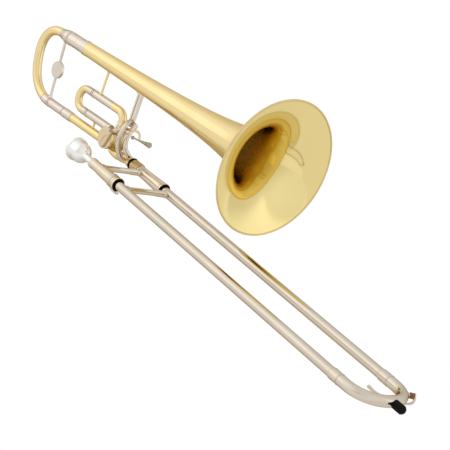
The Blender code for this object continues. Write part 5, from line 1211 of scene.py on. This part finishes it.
class TROMBONE_OT_valve(bpy.types.Operator):
    """Builds the rotary valve, the neckpipe and the valve loop"""
    bl_idname = "trombone.valve"
    bl_label = "Valve and loop"
    bl_options = {"REGISTER", "UNDO"}

    def execute(self, context):
        v = context.scene.trombone_valve
        axes = bell_axes()
        stub = v.place_x - math.sqrt(v.casing_radius ** 2 - v.place_z ** 2) - 7.0 * MM
        neck = tube_wall(19.0 * MM, stub - 0.1 * MM, v.neck_radius, v.neck_radius - 0.6 * MM)
        make_piece("neckpipe", lathe(eased(neck, 0.1 * MM, 1), 64), "bell_section", GOLD, ["neckpipe"], axes)
        self.make_casing(v, axes, stub)
        self.make_caps(v, axes)
        self.make_rotor(v, axes)
        self.make_loop(v, axes, stub)
        return {"FINISHED"}

    def make_casing(self, v, axes, stub):
        half = v.casing_half
        rim = v.casing_radius + 0.8 * MM
        drum = [(half, 0.0), (half, rim), (half - 2.5 * MM, rim), (half - 3.0 * MM, v.casing_radius, 0.5 * MM),
                (-half + 3.0 * MM, v.casing_radius, 0.5 * MM), (-half + 2.5 * MM, rim), (-half, rim), (-half, 0.0)]
        work = lathe(eased(drum, 0.3 * MM, closed=False), 96, closed=False)
        work.transform(at(v.place_x, 0.0, v.place_z) @ along_y())
        for radius, z in ((v.neck_radius + 0.4 * MM, 0.0), (v.loop_leg - 0.1 * MM, 2 * v.place_z)):
            pipe = [(v.place_x - 8.0 * MM, 0.0), (v.place_x - 8.0 * MM, radius), (stub + 1.2 * MM, radius),
                    (stub + 1.1 * MM, radius + 0.4 * MM), (stub, radius + 0.4 * MM), (stub, 0.0)]
            merge_into(work, lathe(eased(pipe, 0.2 * MM, closed=False), 56, closed=False), at(0.0, 0.0, z))
        up = [(v.place_z + v.casing_radius + 5.0 * MM, 0.0),
              (v.place_z + v.casing_radius + 5.0 * MM, v.elbow_radius + 0.7 * MM),
              (v.place_z + v.casing_radius + 2.5 * MM, v.elbow_radius + 0.7 * MM),
              (v.place_z + v.casing_radius + 2.2 * MM, v.elbow_radius), (v.place_z, v.elbow_radius),
              (v.place_z, 0.0)]
        merge_into(work, lathe(eased(up, 0.3 * MM, closed=False), 56, closed=False),
                   at(v.elbow_place, 0.0, 0.0) @ Matrix.Rotation(-math.pi / 2, 4, "Y"))
        # The stub that the gooseneck's sleeve is soldered to
        start = Vector((GOOSENECK[0][0] * MM, 0.0, GOOSENECK[0][1] * MM))
        away = Vector((0.6, 0.0, -0.8))
        merge_into(work, sweep([start - away * 7.0 * MM, start + away * 0.5 * MM], 7.6 * MM, round_section(48)))
        # The casing's darker brass is partly painted shade and dark reflections between the valve's parts
        make_piece("valve_casing", work, "bell_section", SHADED_BRASS, ["valve_casing"], axes)

    def make_caps(self, v, axes):
        start = v.casing_half + 0.1 * MM
        centre = axes @ at(v.place_x, 0.0, v.place_z) @ along_y()
        front = [(-start, 0.0), (-start, v.cap_radius), (-start - v.cap_thickness, v.cap_radius, 1.0 * MM),
                 (-start - v.cap_thickness, 0.0)]
        make_piece("valve_front_plate", lathe(eased(front, 0.4 * MM, 5, closed=False), 96, closed=False),
                   "bell_section", WARM_NICKEL, ["valve_front_plate"], centre)
        far = start + v.cap_thickness
        back = [(far + 1.2 * MM, 0.0), (far + 1.2 * MM, 4.0 * MM, 0.5 * MM), (far, 5.2 * MM, 1.0 * MM),
                (far, v.cap_radius - 1.4 * MM, 0.8 * MM), (far - 1.2 * MM, v.cap_radius), (start, v.cap_radius),
                (start, 0.0)]
        work = lathe(eased(back, 0.3 * MM, closed=False), 96, closed=False)
        ribs = grown_mesh("cap_ribs", ribs_tree(), {
            "Count": 60, "Radius": v.cap_radius, "Place": start + 1.1 * MM, "Rib Length": 1.6 * MM,
            "Rib Width": 0.45 * MM, "Material": finish_material(NICKEL)})
        merge_into(work, ribs)
        make_piece("valve_back_cap", work, "bell_section", NICKEL, ["valve_back_cap"], centre)

    def make_rotor(self, v, axes):
        """What shows of the rotor: its spindle's end and the crank with its pin."""
        front = -(v.casing_half + v.cap_thickness + 0.4 * MM)
        lever = bpy.context.scene.trombone_lever
        rise = math.atan2(lever.pivot[1] - v.place_z, lever.pivot[0] - v.place_x)
        angle = rise + math.pi + math.radians(45.0)
        pin = Vector((v.place_x + v.crank_radius * math.cos(angle), 0.0,
                      v.place_z + v.crank_radius * math.sin(angle)))
        hub = [(8.0 * MM, 0.0), (8.0 * MM, 14.0 * MM), (-8.0 * MM, 14.0 * MM), (-8.0 * MM, 2.6 * MM),
               (front - 0.9 * MM, 2.6 * MM, 0.3 * MM), (front - 0.9 * MM, 0.0)]
        work = lathe(eased(hub, 0.3 * MM, closed=False), 48, closed=False)
        work.transform(at(v.place_x, 0.0, v.place_z) @ along_y())
        y = front - 0.4 * MM
        route = [(v.place_x - 2.0 * MM * math.cos(angle), y, v.place_z - 2.0 * MM * math.sin(angle)),
                 (pin.x, y, pin.z)]
        merge_into(work, sweep(route, 1.0, soft_box_section(2.4 * MM, 0.35 * MM, 0.2 * MM), side=(0, 1, 0)))
        post = [(front - 0.95 * MM, 0.0), (front - 0.95 * MM, 1.1 * MM), (front - 0.3 * MM, 1.1 * MM),
                (front - 0.3 * MM, 0.0)]
        merge_into(work, lathe(eased(post, 0.3 * MM, closed=False), 24, closed=False),
                   at(pin.x, 0.0, pin.z) @ along_y())
        make_piece("valve_rotor", work, "rotor", WARM_NICKEL, ["valve_rotor"], axes)

    def make_loop(self, v, axes, stub):
        low = 2 * v.place_z
        high = v.loop_height
        sleeve = v.loop_leg + 1.0 * MM
        for name, z, end in (("upper", high, v.loop_end), ("lower", low, stub + 7.0 * MM)):
            place = axes @ at(0.0, 0.0, z)
            ring = v.loop_ring
            profile = [(end, sleeve, 0.2 * MM)]
            if name == "lower":
                profile += groove(stub - 1.0 * MM, sleeve, 0.6 * MM, 0.65 * MM)
            profile += groove(ring + 3.2 * MM, sleeve)
            profile += [(ring + 2.3 * MM, sleeve + 0.6 * MM), (ring + 0.1 * MM, sleeve + 0.6 * MM, 0.5 * MM),
                       (ring, sleeve - 0.2 * MM),
                       (ring, v.loop_leg + 0.1 * MM), (end, v.loop_leg + 0.1 * MM)]
            make_piece("loop_" + name + "_sleeve", lathe(eased(profile, 0.3 * MM), 56), "bell_section", NICKEL,
                       ["loop_" + name + "_sleeve"], place)
            start = v.loop_bow + 2.2 * MM
            ferrule = tube_wall(start, ring - 1.5 * MM, v.loop_leg + 0.8 * MM, v.loop_leg)
            make_piece("loop_ferrule_" + name, lathe(eased(ferrule, 0.3 * MM), 56), "loop_slide", NICKEL,
                       ["loop_ferrule_" + name], place)
            inner = tube_wall(start, ring + 34.0 * MM, v.loop_leg, v.loop_leg - 0.6 * MM)
            make_piece("loop_leg_" + name, lathe(eased(inner, 0.1 * MM, 1), 48), "loop_slide", STEEL,
                       ["loop_leg_" + name], place)
        # Dark rings at the loop sleeves' mouths: tarnished metal, and painted shadow of the gaps
        make_seams("loop_seams", [(axes @ at(0.0, 0.0, z), v.loop_ring - 1.2 * MM, 1.1 * MM, v.loop_leg + 0.15 * MM,
                                   sleeve + 0.2 * MM) for z in (high, low)])
        half = (high - low) / 2
        bow = [Vector((v.loop_bow + 2.2 * MM, 0.0, high))]
        for k in range(49):
            angle = math.pi / 2 + math.pi * k / 48
            bow.append(Vector((v.loop_bow + half * math.cos(angle), 0.0, (high + low) / 2 + half * math.sin(angle))))
        bow.append(Vector((v.loop_bow + 2.2 * MM, 0.0, low)))
        make_piece("loop_bow", sweep(bow, v.loop_leg + 0.5 * MM, round_section(48)), "loop_slide", GOLD,
                   ["loop_bow"], axes)
        elbow = [Vector((v.loop_end + 0.1 * MM, 0.0, high))]
        for k in range(25):
            angle = math.pi / 2 - math.pi / 2 * k / 24
            elbow.append(Vector((v.elbow_place - v.elbow_bend + v.elbow_bend * math.cos(angle), 0.0,
                                 high - v.elbow_bend + v.elbow_bend * math.sin(angle))))
        elbow.append(Vector((v.elbow_place, 0.0, v.place_z + v.casing_radius + 5.1 * MM)))
        make_piece("loop_elbow", sweep(elbow, v.elbow_radius, round_section(48)), "bell_section", GOLD,
                   ["loop_elbow"], axes)
        wide = v.elbow_radius + 0.9 * MM
        cuff = tube_wall(23.0 * MM, 37.0 * MM, wide, v.elbow_radius - 0.2 * MM)
        upright = axes @ at(v.elbow_place) @ Matrix.Rotation(-math.pi / 2, 4, "Y")
        make_piece("elbow_cuff", lathe(eased(cuff, 0.5 * MM), 56), "bell_section", NICKEL, [], upright)
        bell_side = bpy.context.scene.trombone_bell.height - bell_radius(79.0 * MM) + 0.6 * MM
        foot_brace("loop_brace", 79.0 * MM, high + sleeve - 0.8 * MM, bell_side, 2.0 * MM, 1.8 * MM, GOLD,
                   "bell_section", "loop_brace")
        foot_brace("neck_strut", 86.5 * MM, v.neck_radius - 0.8 * MM, low - sleeve + 0.8 * MM, 1.8 * MM, 1.2 * MM,
                   GOLD, "bell_section", "neck_strut")


# Places on the gooseneck's centre line, x and z in millimetres
GOOSENECK = ((151.5, -3.6), (155.0, -5.0), (162.0, -6.2), (172.5, -6.8), (182.5, -6.6))


class TROMBONE_OT_receiver(bpy.types.Operator):
    """Builds the gooseneck, the slide receiver with its ring, and the coupling nut"""
    bl_idname = "trombone.receiver"
    bl_label = "Gooseneck and receiver"
    bl_options = {"REGISTER", "UNDO"}

    def execute(self, context):
        slide = context.scene.trombone_slide
        axes = bell_axes()
        back = axes.inverted()
        end = back @ Vector((-46.0 * MM, slide.leg_offset, 0.0))
        ahead = (back @ Vector((-36.0 * MM, slide.leg_offset, 0.0)) - end).normalized()
        low = [Vector((x * MM, 0.0, z * MM)) for x, z in GOOSENECK]
        route = smooth_route(low + [end - ahead * 6.0 * MM, end + ahead * 1.0 * MM], 8)
        make_piece("gooseneck", sweep(route, 7.4 * MM, round_section(48)), "bell_section", GOLD, ["gooseneck"], axes)
        # The wider sleeve over its first half, with rounded ends
        sleeve = [point for point in smooth_route(low[:4], 8)]
        radii = [8.3 * MM] * len(sleeve)
        radii[0] = radii[-1] = 7.9 * MM
        make_piece("gooseneck_sleeve", sweep(sleeve, radii, round_section(48)), "bell_section", GOLD, [], axes)
        receiver = [(-12.4 * MM, 8.8 * MM), (-30.0 * MM, 8.8 * MM), (-30.0 * MM, 8.3 * MM),
                    (-38.0 * MM, 8.6 * MM), (-45.0 * MM, 8.4 * MM), (-46.0 * MM, 7.8 * MM, 0.3 * MM),
                    (-46.0 * MM, 6.8 * MM), (-12.4 * MM, 7.8 * MM)]
        make_piece("slide_receiver", lathe(eased(receiver, 0.3 * MM), 64), "bell_section", GOLD,
                   ["slide_receiver"], leg("bell"))
        ring = []
        for k in range(16):
            angle = 2 * math.pi * k / 16
            ring.append((-34.0 * MM + 1.5 * MM * math.cos(angle), 9.3 * MM + 0.95 * MM * math.sin(angle)))
        make_piece("receiver_ring", lathe(ring, 64), "bell_section", RUBBER, ["receiver_ring"], leg("bell"))
        self.make_nut()
        return {"FINISHED"}

    def make_nut(self):
        """The nut: turned ridges, with knurling on the two wide ones."""
        wide = 10.2 * MM
        profile = [(-9.4 * MM, 9.4 * MM, 0.5 * MM), (-10.4 * MM, wide - 0.25 * MM), (-14.0 * MM, wide - 0.25 * MM),
                   (-14.4 * MM, 9.4 * MM), (-15.6 * MM, 9.4 * MM), (-16.0 * MM, wide - 0.25 * MM),
                   (-19.6 * MM, wide - 0.25 * MM), (-20.2 * MM, 9.4 * MM), (-22.0 * MM, 9.4 * MM),
                   (-22.4 * MM, 9.9 * MM), (-28.8 * MM, 9.9 * MM, 0.6 * MM), (-29.7 * MM, 9.4 * MM),
                   (-29.7 * MM, 8.95 * MM), (-11.2 * MM, 8.95 * MM), (-11.2 * MM, 7.9 * MM), (-9.4 * MM, 7.9 * MM)]
        work = lathe(eased(profile, 0.25 * MM), 72)
        tree = ribs_tree()
        for place in (-12.2 * MM, -17.8 * MM):
            merge_into(work, grown_mesh("nut_ribs", tree, {
                "Count": 36, "Radius": wide - 0.35 * MM, "Place": place, "Rib Length": 3.0 * MM,
                "Rib Width": 0.35 * MM, "Material": finish_material(GOLD)}))
        # The nut shares the darkened brass, partly painted shade
        make_piece("coupling_nut", work, "slide_nut", SHADED_BRASS, ["coupling_nut"], leg("bell"))


REAR_GUARD = ((176.5, -3.5, 53.5), (183.0, -12.0, 55.0), (189.5, -21.5, 53.6), (192.6, -27.5, 47.5),
              (191.3, -28.6, 38.0), (189.3, -27.5, 26.0), (187.6, -24.0, 15.5), (187.3, -19.0, 6.0),
              (188.3, -13.0, -2.2), (190.0, -6.0, -7.0))
FRONT_GUARD = ((184.5, -2.0, 48.5), (188.0, -9.4, 38.6), (190.0, -13.6, 30.2), (193.0, -15.1, 21.0),
               (196.0, -12.9, 12.2), (198.0, -7.0, 5.5), (199.0, 0.5, -1.0))
LEVER_ARM = ((168.6, 34.5), (179.5, 40.4), (193.5, 45.7), (206.0, 49.3), (215.5, 51.8), (222.5, 52.0),
             (227.6, 48.4), (229.7, 41.5))
# Places of the lever's leaf in the plane of the lever, and half its width there
LEVER_LEAF = ((161.5, 31.0, 2.1), (158.3, 27.2, 2.2), (154.6, 20.8, 3.2), (150.4, 12.6, 4.6), (147.0, 4.8, 5.2),
              (145.4, -0.8, 4.4), (144.6, -3.4, 3.0), (144.3, -4.6, 1.0))


class TROMBONE_OT_bell_brace(bpy.types.Operator):
    """Builds the wide bell brace, its cross socket and the two guard bars"""
    bl_idname = "trombone.bell_brace"
    bl_label = "Bell brace and guard bars"
    bl_options = {"REGISTER", "UNDO"}

    def execute(self, context):
        g = context.scene.trombone_lever
        height = context.scene.trombone_bell.height
        axes = bell_axes()
        top = height - bell_radius(g.brace_place + g.brace_width / 2) + 0.6 * MM
        route = [(g.brace_place, 0.0, g.socket_height), (g.brace_place, 0.0, top)]
        half = (g.brace_width / 2, g.brace_thickness / 2)
        section = soft_box_section(half[0], half[1], 1.9 * MM, 6)
        front = -half[1]
        notch = [(-0.4 * MM, front), (-0.2 * MM, front + 1.5 * MM), (1.0 * MM, front + 1.5 * MM), (1.2 * MM, front)]
        work = sweep(route, 1.0, section[:21] + notch + section[21:], side=(0, 1, 0))
        foot = [(g.brace_place, 0.0, top - 2.6 * MM), (g.brace_place, 0.0, top - 0.4 * MM)]
        merge_into(work, sweep(foot, 1.0, soft_box_section(half[0] + 2.5 * MM, half[1] + 1.5 * MM, 2.0 * MM, 6),
                               side=(0, 1, 0)))
        middle = g.brace_place + 4.7 * MM
        socket = [(middle + 9.0 * MM, 0.0), (middle + 9.0 * MM, g.socket_radius, 0.5 * MM),
                  (middle - 9.0 * MM, g.socket_radius, 0.5 * MM), (middle - 9.0 * MM, 0.0)]
        merge_into(work, lathe(eased(socket, 0.5 * MM, closed=False), 48, closed=False),
                   at(0.0, 0.0, g.socket_height))
        make_piece("bell_brace", work, "bell_section", NICKEL, ["bell_brace"], axes)
        for name, places in (("rear_guard_bar", REAR_GUARD), ("front_guard_bar", FRONT_GUARD)):
            bar = smooth_route([Vector(p) * MM for p in places], 12)
            make_piece(name, sweep(bar, g.guard_radius, round_section(40)), "bell_section", NICKEL, [name],
                       axes)
        cap = [(middle + 5.6 * MM, 0.0), (middle + 5.6 * MM, g.socket_radius - 0.4 * MM, 0.6 * MM),
               (middle + 4.4 * MM, g.socket_radius + 0.5 * MM, 0.5 * MM),
               (middle + 1.6 * MM, g.socket_radius + 0.5 * MM, 0.4 * MM), (middle + 1.4 * MM, g.socket_radius - 0.5 * MM)]
        cap.append((middle + 1.4 * MM, 0.0))
        make_piece("socket_cap", lathe(eased(cap, 0.3 * MM, closed=False), 48, closed=False), "bell_section",
                   SHADED_BRASS, [], axes @ at(0.0, 0.0, g.socket_height))
        bracket = [Vector(p) * MM for p in ((151.0, -9.0, 26.5), (149.6, -8.2, 33.0), (148.9, -5.6, 39.5),
                                            (147.6, -3.6, 43.5))]
        make_piece("lever_bracket", sweep(smooth_route(bracket, 8), 1.0, soft_box_section(2.4 * MM, 1.0 * MM, 0.7 * MM),
                                          side=(0, 1, 0)), "bell_section", NICKEL, [], axes)
        return {"FINISHED"}


class TROMBONE_OT_thumb_lever(bpy.types.Operator):
    """Builds the thumb lever, its post and its screw"""
    bl_idname = "trombone.thumb_lever"
    bl_label = "Thumb lever"
    bl_options = {"REGISTER", "UNDO"}

    def execute(self, context):
        g = context.scene.trombone_lever
        v = context.scene.trombone_valve
        axes = bell_axes()
        crank_y = -(v.casing_half + v.cap_thickness + 0.6 * MM)
        y = crank_y - 1.6 * MM - 0.3 * MM - g.thickness / 2 - 0.15 * MM
        pivot = Vector((g.pivot[0], y, g.pivot[1]))
        self.make_arm(g, v, axes, pivot, y)
        self.make_post(g, v, axes, pivot, y)
        return {"FINISHED"}

    def make_arm(self, g, v, axes, pivot, y):
        spindle = Vector((v.place_x, y, v.place_z))
        toward = (spindle - pivot).normalized()
        reach = (spindle - pivot).length
        turn = math.radians(7.0)
        fork = Vector((toward.x * math.cos(turn) - toward.z * math.sin(turn), 0.0,
                       toward.x * math.sin(turn) + toward.z * math.cos(turn)))
        strap = soft_box_section(g.half_width, g.thickness / 2, 0.6 * MM)
        slot = pivot + fork * (reach + v.crank_radius * 0.38)
        arm = [pivot] + [Vector((x * MM, y, z * MM)) for x, z in LEVER_ARM]
        route = [pivot.lerp(slot, 0.5)] + smooth_route(arm, 10)
        work = sweep(route, 1.0, strap, side=(0, 1, 0))
        # The leaf that covers the crank's pin: it widens and curves down over the front plate
        back = -(v.casing_half + v.cap_thickness + 1.5 * MM)
        leaf = smooth_route([Vector((x * MM, back, z * MM)) for x, z, _ in LEVER_LEAF], 10)
        widths = [w[0] * MM for w in smooth_route([(w, 0.0) for _, _, w in LEVER_LEAF], 10)]
        lips = [1.2 * MM * min(1.0, max(0.1, (24.0 * MM - point.z) / (4.0 * MM))) for point in leaf]
        merge_into(work, domed_strap(leaf, widths, 3.2 * MM, lips))
        barrel = [(y - 1.5 * MM, 0.0), (y - 1.5 * MM, 2.7 * MM), (y + 1.7 * MM, 2.7 * MM), (y + 1.7 * MM, 0.0)]
        merge_into(work, lathe(eased(barrel, 0.4 * MM, closed=False), 40, closed=False),
                   at(pivot.x, 0.0, pivot.z) @ along_y())
        start = Vector((211.0 * MM, y, 39.5 * MM))
        end = Vector((245.5 * MM, y, 43.4 * MM))
        end += (end - start).normalized() * 12.5 * MM
        shares = (0.0, 0.03, 0.06, 0.09, 0.12, 0.25, 0.42, 0.60, 0.75, 0.88, 0.96, 0.985, 1.0)
        extra = (0.4, 1.3, 1.4, 0.8, -0.3, -0.5, -0.2, 0.4, 1.1, 1.9, 2.7, 2.8, 2.3)
        rod = [start.lerp(end, share) for share in shares]
        touch = sweep(rod, [g.touch_radius + grow * MM for grow in extra], round_section(32), side=(0, 1, 0))
        make_piece("thumb_touch", touch, "trigger", STEEL, [], axes)
        make_piece("thumb_lever", work, "trigger", WARM_NICKEL, ["thumb_lever"], axes)

    def make_post(self, g, v, axes, pivot, y):
        back = y + 2.0 * MM
        rise = math.atan2(pivot.z - v.place_z, pivot.x - v.place_x)
        foot = Vector((v.place_x + v.casing_radius * math.cos(rise), -11.0 * MM,
                       v.place_z + v.casing_radius * math.sin(rise)))
        route = [Vector((pivot.x, back, pivot.z)), Vector((pivot.x, -13.0 * MM, pivot.z)),
                 Vector((pivot.x - 0.8 * MM, -11.0 * MM, pivot.z - 1.0 * MM)), foot]
        make_piece("lever_post", sweep(route, 3.0 * MM, round_section(32)), "bell_section", NICKEL,
                   ["lever_post"], axes)
        head = y - 1.8 * MM
        screw = [(back + 4.0 * MM, 0.0), (back + 4.0 * MM, 1.2 * MM), (head, 1.2 * MM), (head, 2.5 * MM),
                 (head - 1.4 * MM, 2.5 * MM, 0.6 * MM), (head - 1.4 * MM, 0.0)]
        make_piece("lever_screw", lathe(eased(screw, 0.2 * MM, closed=False), 32, closed=False), "bell_section",
                   STEEL, ["lever_screw"], axes @ at(pivot.x, 0.0, pivot.z) @ along_y())


# Studio


class TROMBONE_OT_studio(bpy.types.Operator):
    """Builds the floor, the lights, the surroundings and the camera"""
    bl_idname = "trombone.studio"
    bl_label = "Studio"
    bl_options = {"REGISTER", "UNDO"}

    def execute(self, context):
        settings = context.scene.trombone_studio
        self.make_floor(settings)
        self.make_world(context.scene, settings)
        self.make_lights()
        self.make_camera(context.scene, settings)
        context.scene.view_settings.view_transform = "Standard"
        return {"FINISHED"}

    def make_floor(self, settings):
        """White paper under the object, which reflections see shade off towards the back."""
        work = bmesh.new()
        bmesh.ops.create_grid(work, x_segments=1, y_segments=1, size=14.0,
                              matrix=at(0.0, 0.0, settings.floor_height))
        mesh = bpy.data.meshes.new("studio_floor")
        work.to_mesh(mesh)
        work.free()
        floor = bpy.data.objects.new("studio_floor", mesh)
        bpy.context.scene.collection.objects.link(floor)
        material = bpy.data.materials.new("studio_floor")
        material.use_nodes = True
        tree = material.node_tree
        tree.nodes.clear()
        output = tree.nodes.new("ShaderNodeOutputMaterial")
        paper = tree.nodes.new("ShaderNodeBsdfDiffuse")
        paper.inputs["Color"].default_value = (0.9, 0.9, 0.9, 1.0)
        place = tree.nodes.new("ShaderNodeTexCoord").outputs["Object"]
        depth = add_dot(tree, place, (0.0, 1.0, 0.0))
        back = add_step(tree, depth, -0.66, 0.50, settings.floor_near, settings.floor_far)
        across = add_dot(tree, place, (1.0, 0.0, 0.0))
        far = math_node(tree, "ADD", add_step(tree, depth, 1.5, 7.0, 0.0, 0.18), settings.floor_side)
        right = math_node(tree, "MULTIPLY", add_step(tree, across, 0.46, 0.52, 0.0, 1.0), far)
        # Light that the brass throws on the floor under the bell
        under = math_node(tree, "MULTIPLY", add_step(tree, across, 0.0, 0.15, 0.0, 1.0),
                          add_step(tree, across, 0.46, 0.52, 1.0, 0.0))
        glow = math_node(tree, "MULTIPLY", under, add_step(tree, depth, -0.1, 0.1, 0.0, 1.0))
        shade = math_node(tree, "MAXIMUM", math_node(tree, "MAXIMUM", back, right),
                          math_node(tree, "MULTIPLY", glow, settings.glow_level))
        path = tree.nodes.new("ShaderNodeLightPath")
        shown = math_node(tree, "MAXIMUM", path.outputs["Is Camera Ray"], path.outputs["Is Transmission Ray"])
        seen = math_node(tree, "MAXIMUM", shown, path.outputs["Is Glossy Ray"])
        level = math_node(tree, "MAXIMUM", math_node(tree, "MULTIPLY", shown, 1.05), shade)
        shine = tree.nodes.new("ShaderNodeEmission")
        tree.links.new(level, shine.inputs["Strength"])
        # Reflections see the shaded part warm, as brass round the object makes it
        warm = tree.nodes.new("ShaderNodeMix")
        warm.data_type = "RGBA"
        tree.links.new(add_step(tree, level, settings.floor_far, settings.floor_near, 1.0, 0.0), warm.inputs[0])
        warm.inputs[6].default_value = (1.0, 1.0, 1.0, 1.0)
        warm.inputs[7].default_value = (*settings.floor_tint, 1.0)
        brassy = tree.nodes.new("ShaderNodeMix")
        brassy.data_type = "RGBA"
        unseen = math_node(tree, "SUBTRACT", shown, 1.0)
        tree.links.new(math_node(tree, "MULTIPLY", glow, math_node(tree, "ABSOLUTE", unseen)), brassy.inputs[0])
        tree.links.new(warm.outputs[2], brassy.inputs[6])
        brassy.inputs[7].default_value = (*settings.glow_tint, 1.0)
        tree.links.new(brassy.outputs[2], shine.inputs["Color"])
        # Part of the paper stays diffuse where it is seen, so that it keeps the object's shadow
        share = math_node(tree, "MULTIPLY", seen, 0.8)
        pick = tree.nodes.new("ShaderNodeMixShader")
        tree.links.new(share, pick.inputs[0])
        tree.links.new(paper.outputs[0], pick.inputs[1])
        tree.links.new(shine.outputs[0], pick.inputs[2])
        tree.links.new(pick.outputs[0], output.inputs["Surface"])
        mesh.materials.append(material)

    def make_world(self, scene, settings):
        """A white backdrop that shades off in reflections, brightest towards the front left."""
        world = bpy.data.worlds.new("studio")
        scene.world = world
        world.use_nodes = True
        tree = world.node_tree
        tree.nodes.clear()
        output = tree.nodes.new("ShaderNodeOutputWorld")
        backdrop = tree.nodes.new("ShaderNodeBackground")
        backdrop.inputs["Color"].default_value = (1.0, 1.0, 1.0, 1.0)
        coordinates = tree.nodes.new("ShaderNodeTexCoord")
        toward = coordinates.outputs["Generated"]
        above = add_step(tree, add_dot(tree, toward, (0.0, 0.0, 1.0)), -0.1, 0.9, 0.0, settings.above_level)
        key = add_step(tree, add_dot(tree, toward, (-0.67, -0.68, 0.30)), 0.5, 1.0, 0.0, settings.key_level)
        flank = add_step(tree, add_dot(tree, toward, (0.95, 0.05, 0.20)), 0.3, 0.95, 0.0, settings.flank_level)
        # An upright strip of light behind on the right, which the lower half of the bell shows
        turn = add_dot(tree, toward, (-0.60, 0.80, 0.0))
        strip = math_node(tree, "MULTIPLY", add_step(tree, turn, -0.10, 0.06, 0.0, 1.0),
                          add_step(tree, turn, 0.12, 0.95, 1.0, 0.0))
        strip = math_node(tree, "MULTIPLY", strip,
                          add_step(tree, add_dot(tree, toward, (1.0, 0.0, 0.0)), 0.2, 0.6, 0.0, 1.0))
        side = math_node(tree, "ADD", flank, math_node(tree, "MULTIPLY", strip, settings.side_level))
        tent = math_node(tree, "ADD", math_node(tree, "ADD", above, key), side)
        tent = math_node(tree, "ADD", tent, settings.tent_level)
        path = tree.nodes.new("ShaderNodeLightPath")
        shown = math_node(tree, "MAXIMUM", path.outputs["Is Camera Ray"], path.outputs["Is Transmission Ray"])
        mix = tree.nodes.new("ShaderNodeMix")
        tree.links.new(shown, mix.inputs["Factor"])
        tree.links.new(tent, mix.inputs["A"])
        mix.inputs["B"].default_value = 1.0
        tree.links.new(mix.outputs["Result"], backdrop.inputs["Strength"])
        tree.links.new(backdrop.outputs[0], output.inputs["Surface"])

    def make_lights(self):
        for name, place, size, power in (
                ("softbox_above", (0.2, 0.5, 2.4), (2.6, 2.2), 2.4),
                ("softbox_left", (-1.9, -1.9, 1.0), (2.0, 2.0), 1.6)):
            data = bpy.data.lights.new(name, "AREA")
            data.shape = "ELLIPSE"
            data.size, data.size_y = size
            data.energy = power
            lamp = bpy.data.objects.new(name, data)
            lamp.location = place
            lamp.rotation_euler = (-Vector(place)).to_track_quat("-Z", "Y").to_euler()
            # The bell would show the upper one's outline
            lamp.visible_glossy = name == "softbox_left"
            bpy.context.scene.collection.objects.link(lamp)

    def make_camera(self, scene, settings):
        data = bpy.data.cameras.new("photo_camera")
        data.lens = settings.focal_length
        data.sensor_width = 36.0
        data.sensor_fit = "HORIZONTAL"
        data.clip_start = 0.05
        data.clip_end = 60.0
        camera = bpy.data.objects.new("photo_camera", data)
        camera.location = settings.camera_place
        camera.rotation_euler = settings.camera_turn
        scene.collection.objects.link(camera)
        scene.camera = camera


GROUPS = (
    ("trombone_slide", SlideSizes), ("trombone_mouthpiece", MouthpieceSizes), ("trombone_bell", BellSizes),
    ("trombone_tuning", TuningSizes), ("trombone_valve", ValveSizes), ("trombone_lever", LeverSizes),
    ("trombone_finish", FinishColours), ("trombone_studio", StudioSettings),
)
STEPS = (
    TROMBONE_OT_inner_slide, TROMBONE_OT_outer_slide, TROMBONE_OT_water_key, TROMBONE_OT_mouthpiece,
    TROMBONE_OT_bell, TROMBONE_OT_tuning_slide, TROMBONE_OT_valve, TROMBONE_OT_receiver,
    TROMBONE_OT_bell_brace, TROMBONE_OT_thumb_lever, TROMBONE_OT_studio,
)


class TROMBONE_PT_panel(bpy.types.Panel):
    """Lists the steps and the sizes they use"""
    bl_idname = "TROMBONE_PT_panel"
    bl_label = "Trombone"
    bl_space_type = "VIEW_3D"
    bl_region_type = "UI"
    bl_category = "Trombone"

    def draw(self, context):
        for step in STEPS:
            self.layout.operator(step.bl_idname)
        for name, _ in GROUPS:
            group = getattr(context.scene, name)
            box = self.layout.box()
            box.label(text=name.replace("_", " ").capitalize())
            for prop in group.bl_rna.properties:
                if prop.identifier not in ("rna_type", "name"):
                    box.prop(group, prop.identifier)


def register():
    for name, group in GROUPS:
        bpy.utils.register_class(group)
        setattr(bpy.types.Scene, name, PointerProperty(type=group))
    for step in STEPS:
        bpy.utils.register_class(step)
    bpy.utils.register_class(TROMBONE_PT_panel)


def unregister():
    bpy.utils.unregister_class(TROMBONE_PT_panel)
    for step in reversed(STEPS):
        bpy.utils.unregister_class(step)
    for name, group in reversed(GROUPS):
        delattr(bpy.types.Scene, name)
        bpy.utils.unregister_class(group)


def main():
    register()
    for step in STEPS:
        area, action = step.bl_idname.split(".")
        getattr(getattr(bpy.ops, area), action)()


if __name__ == "__main__":
    main()
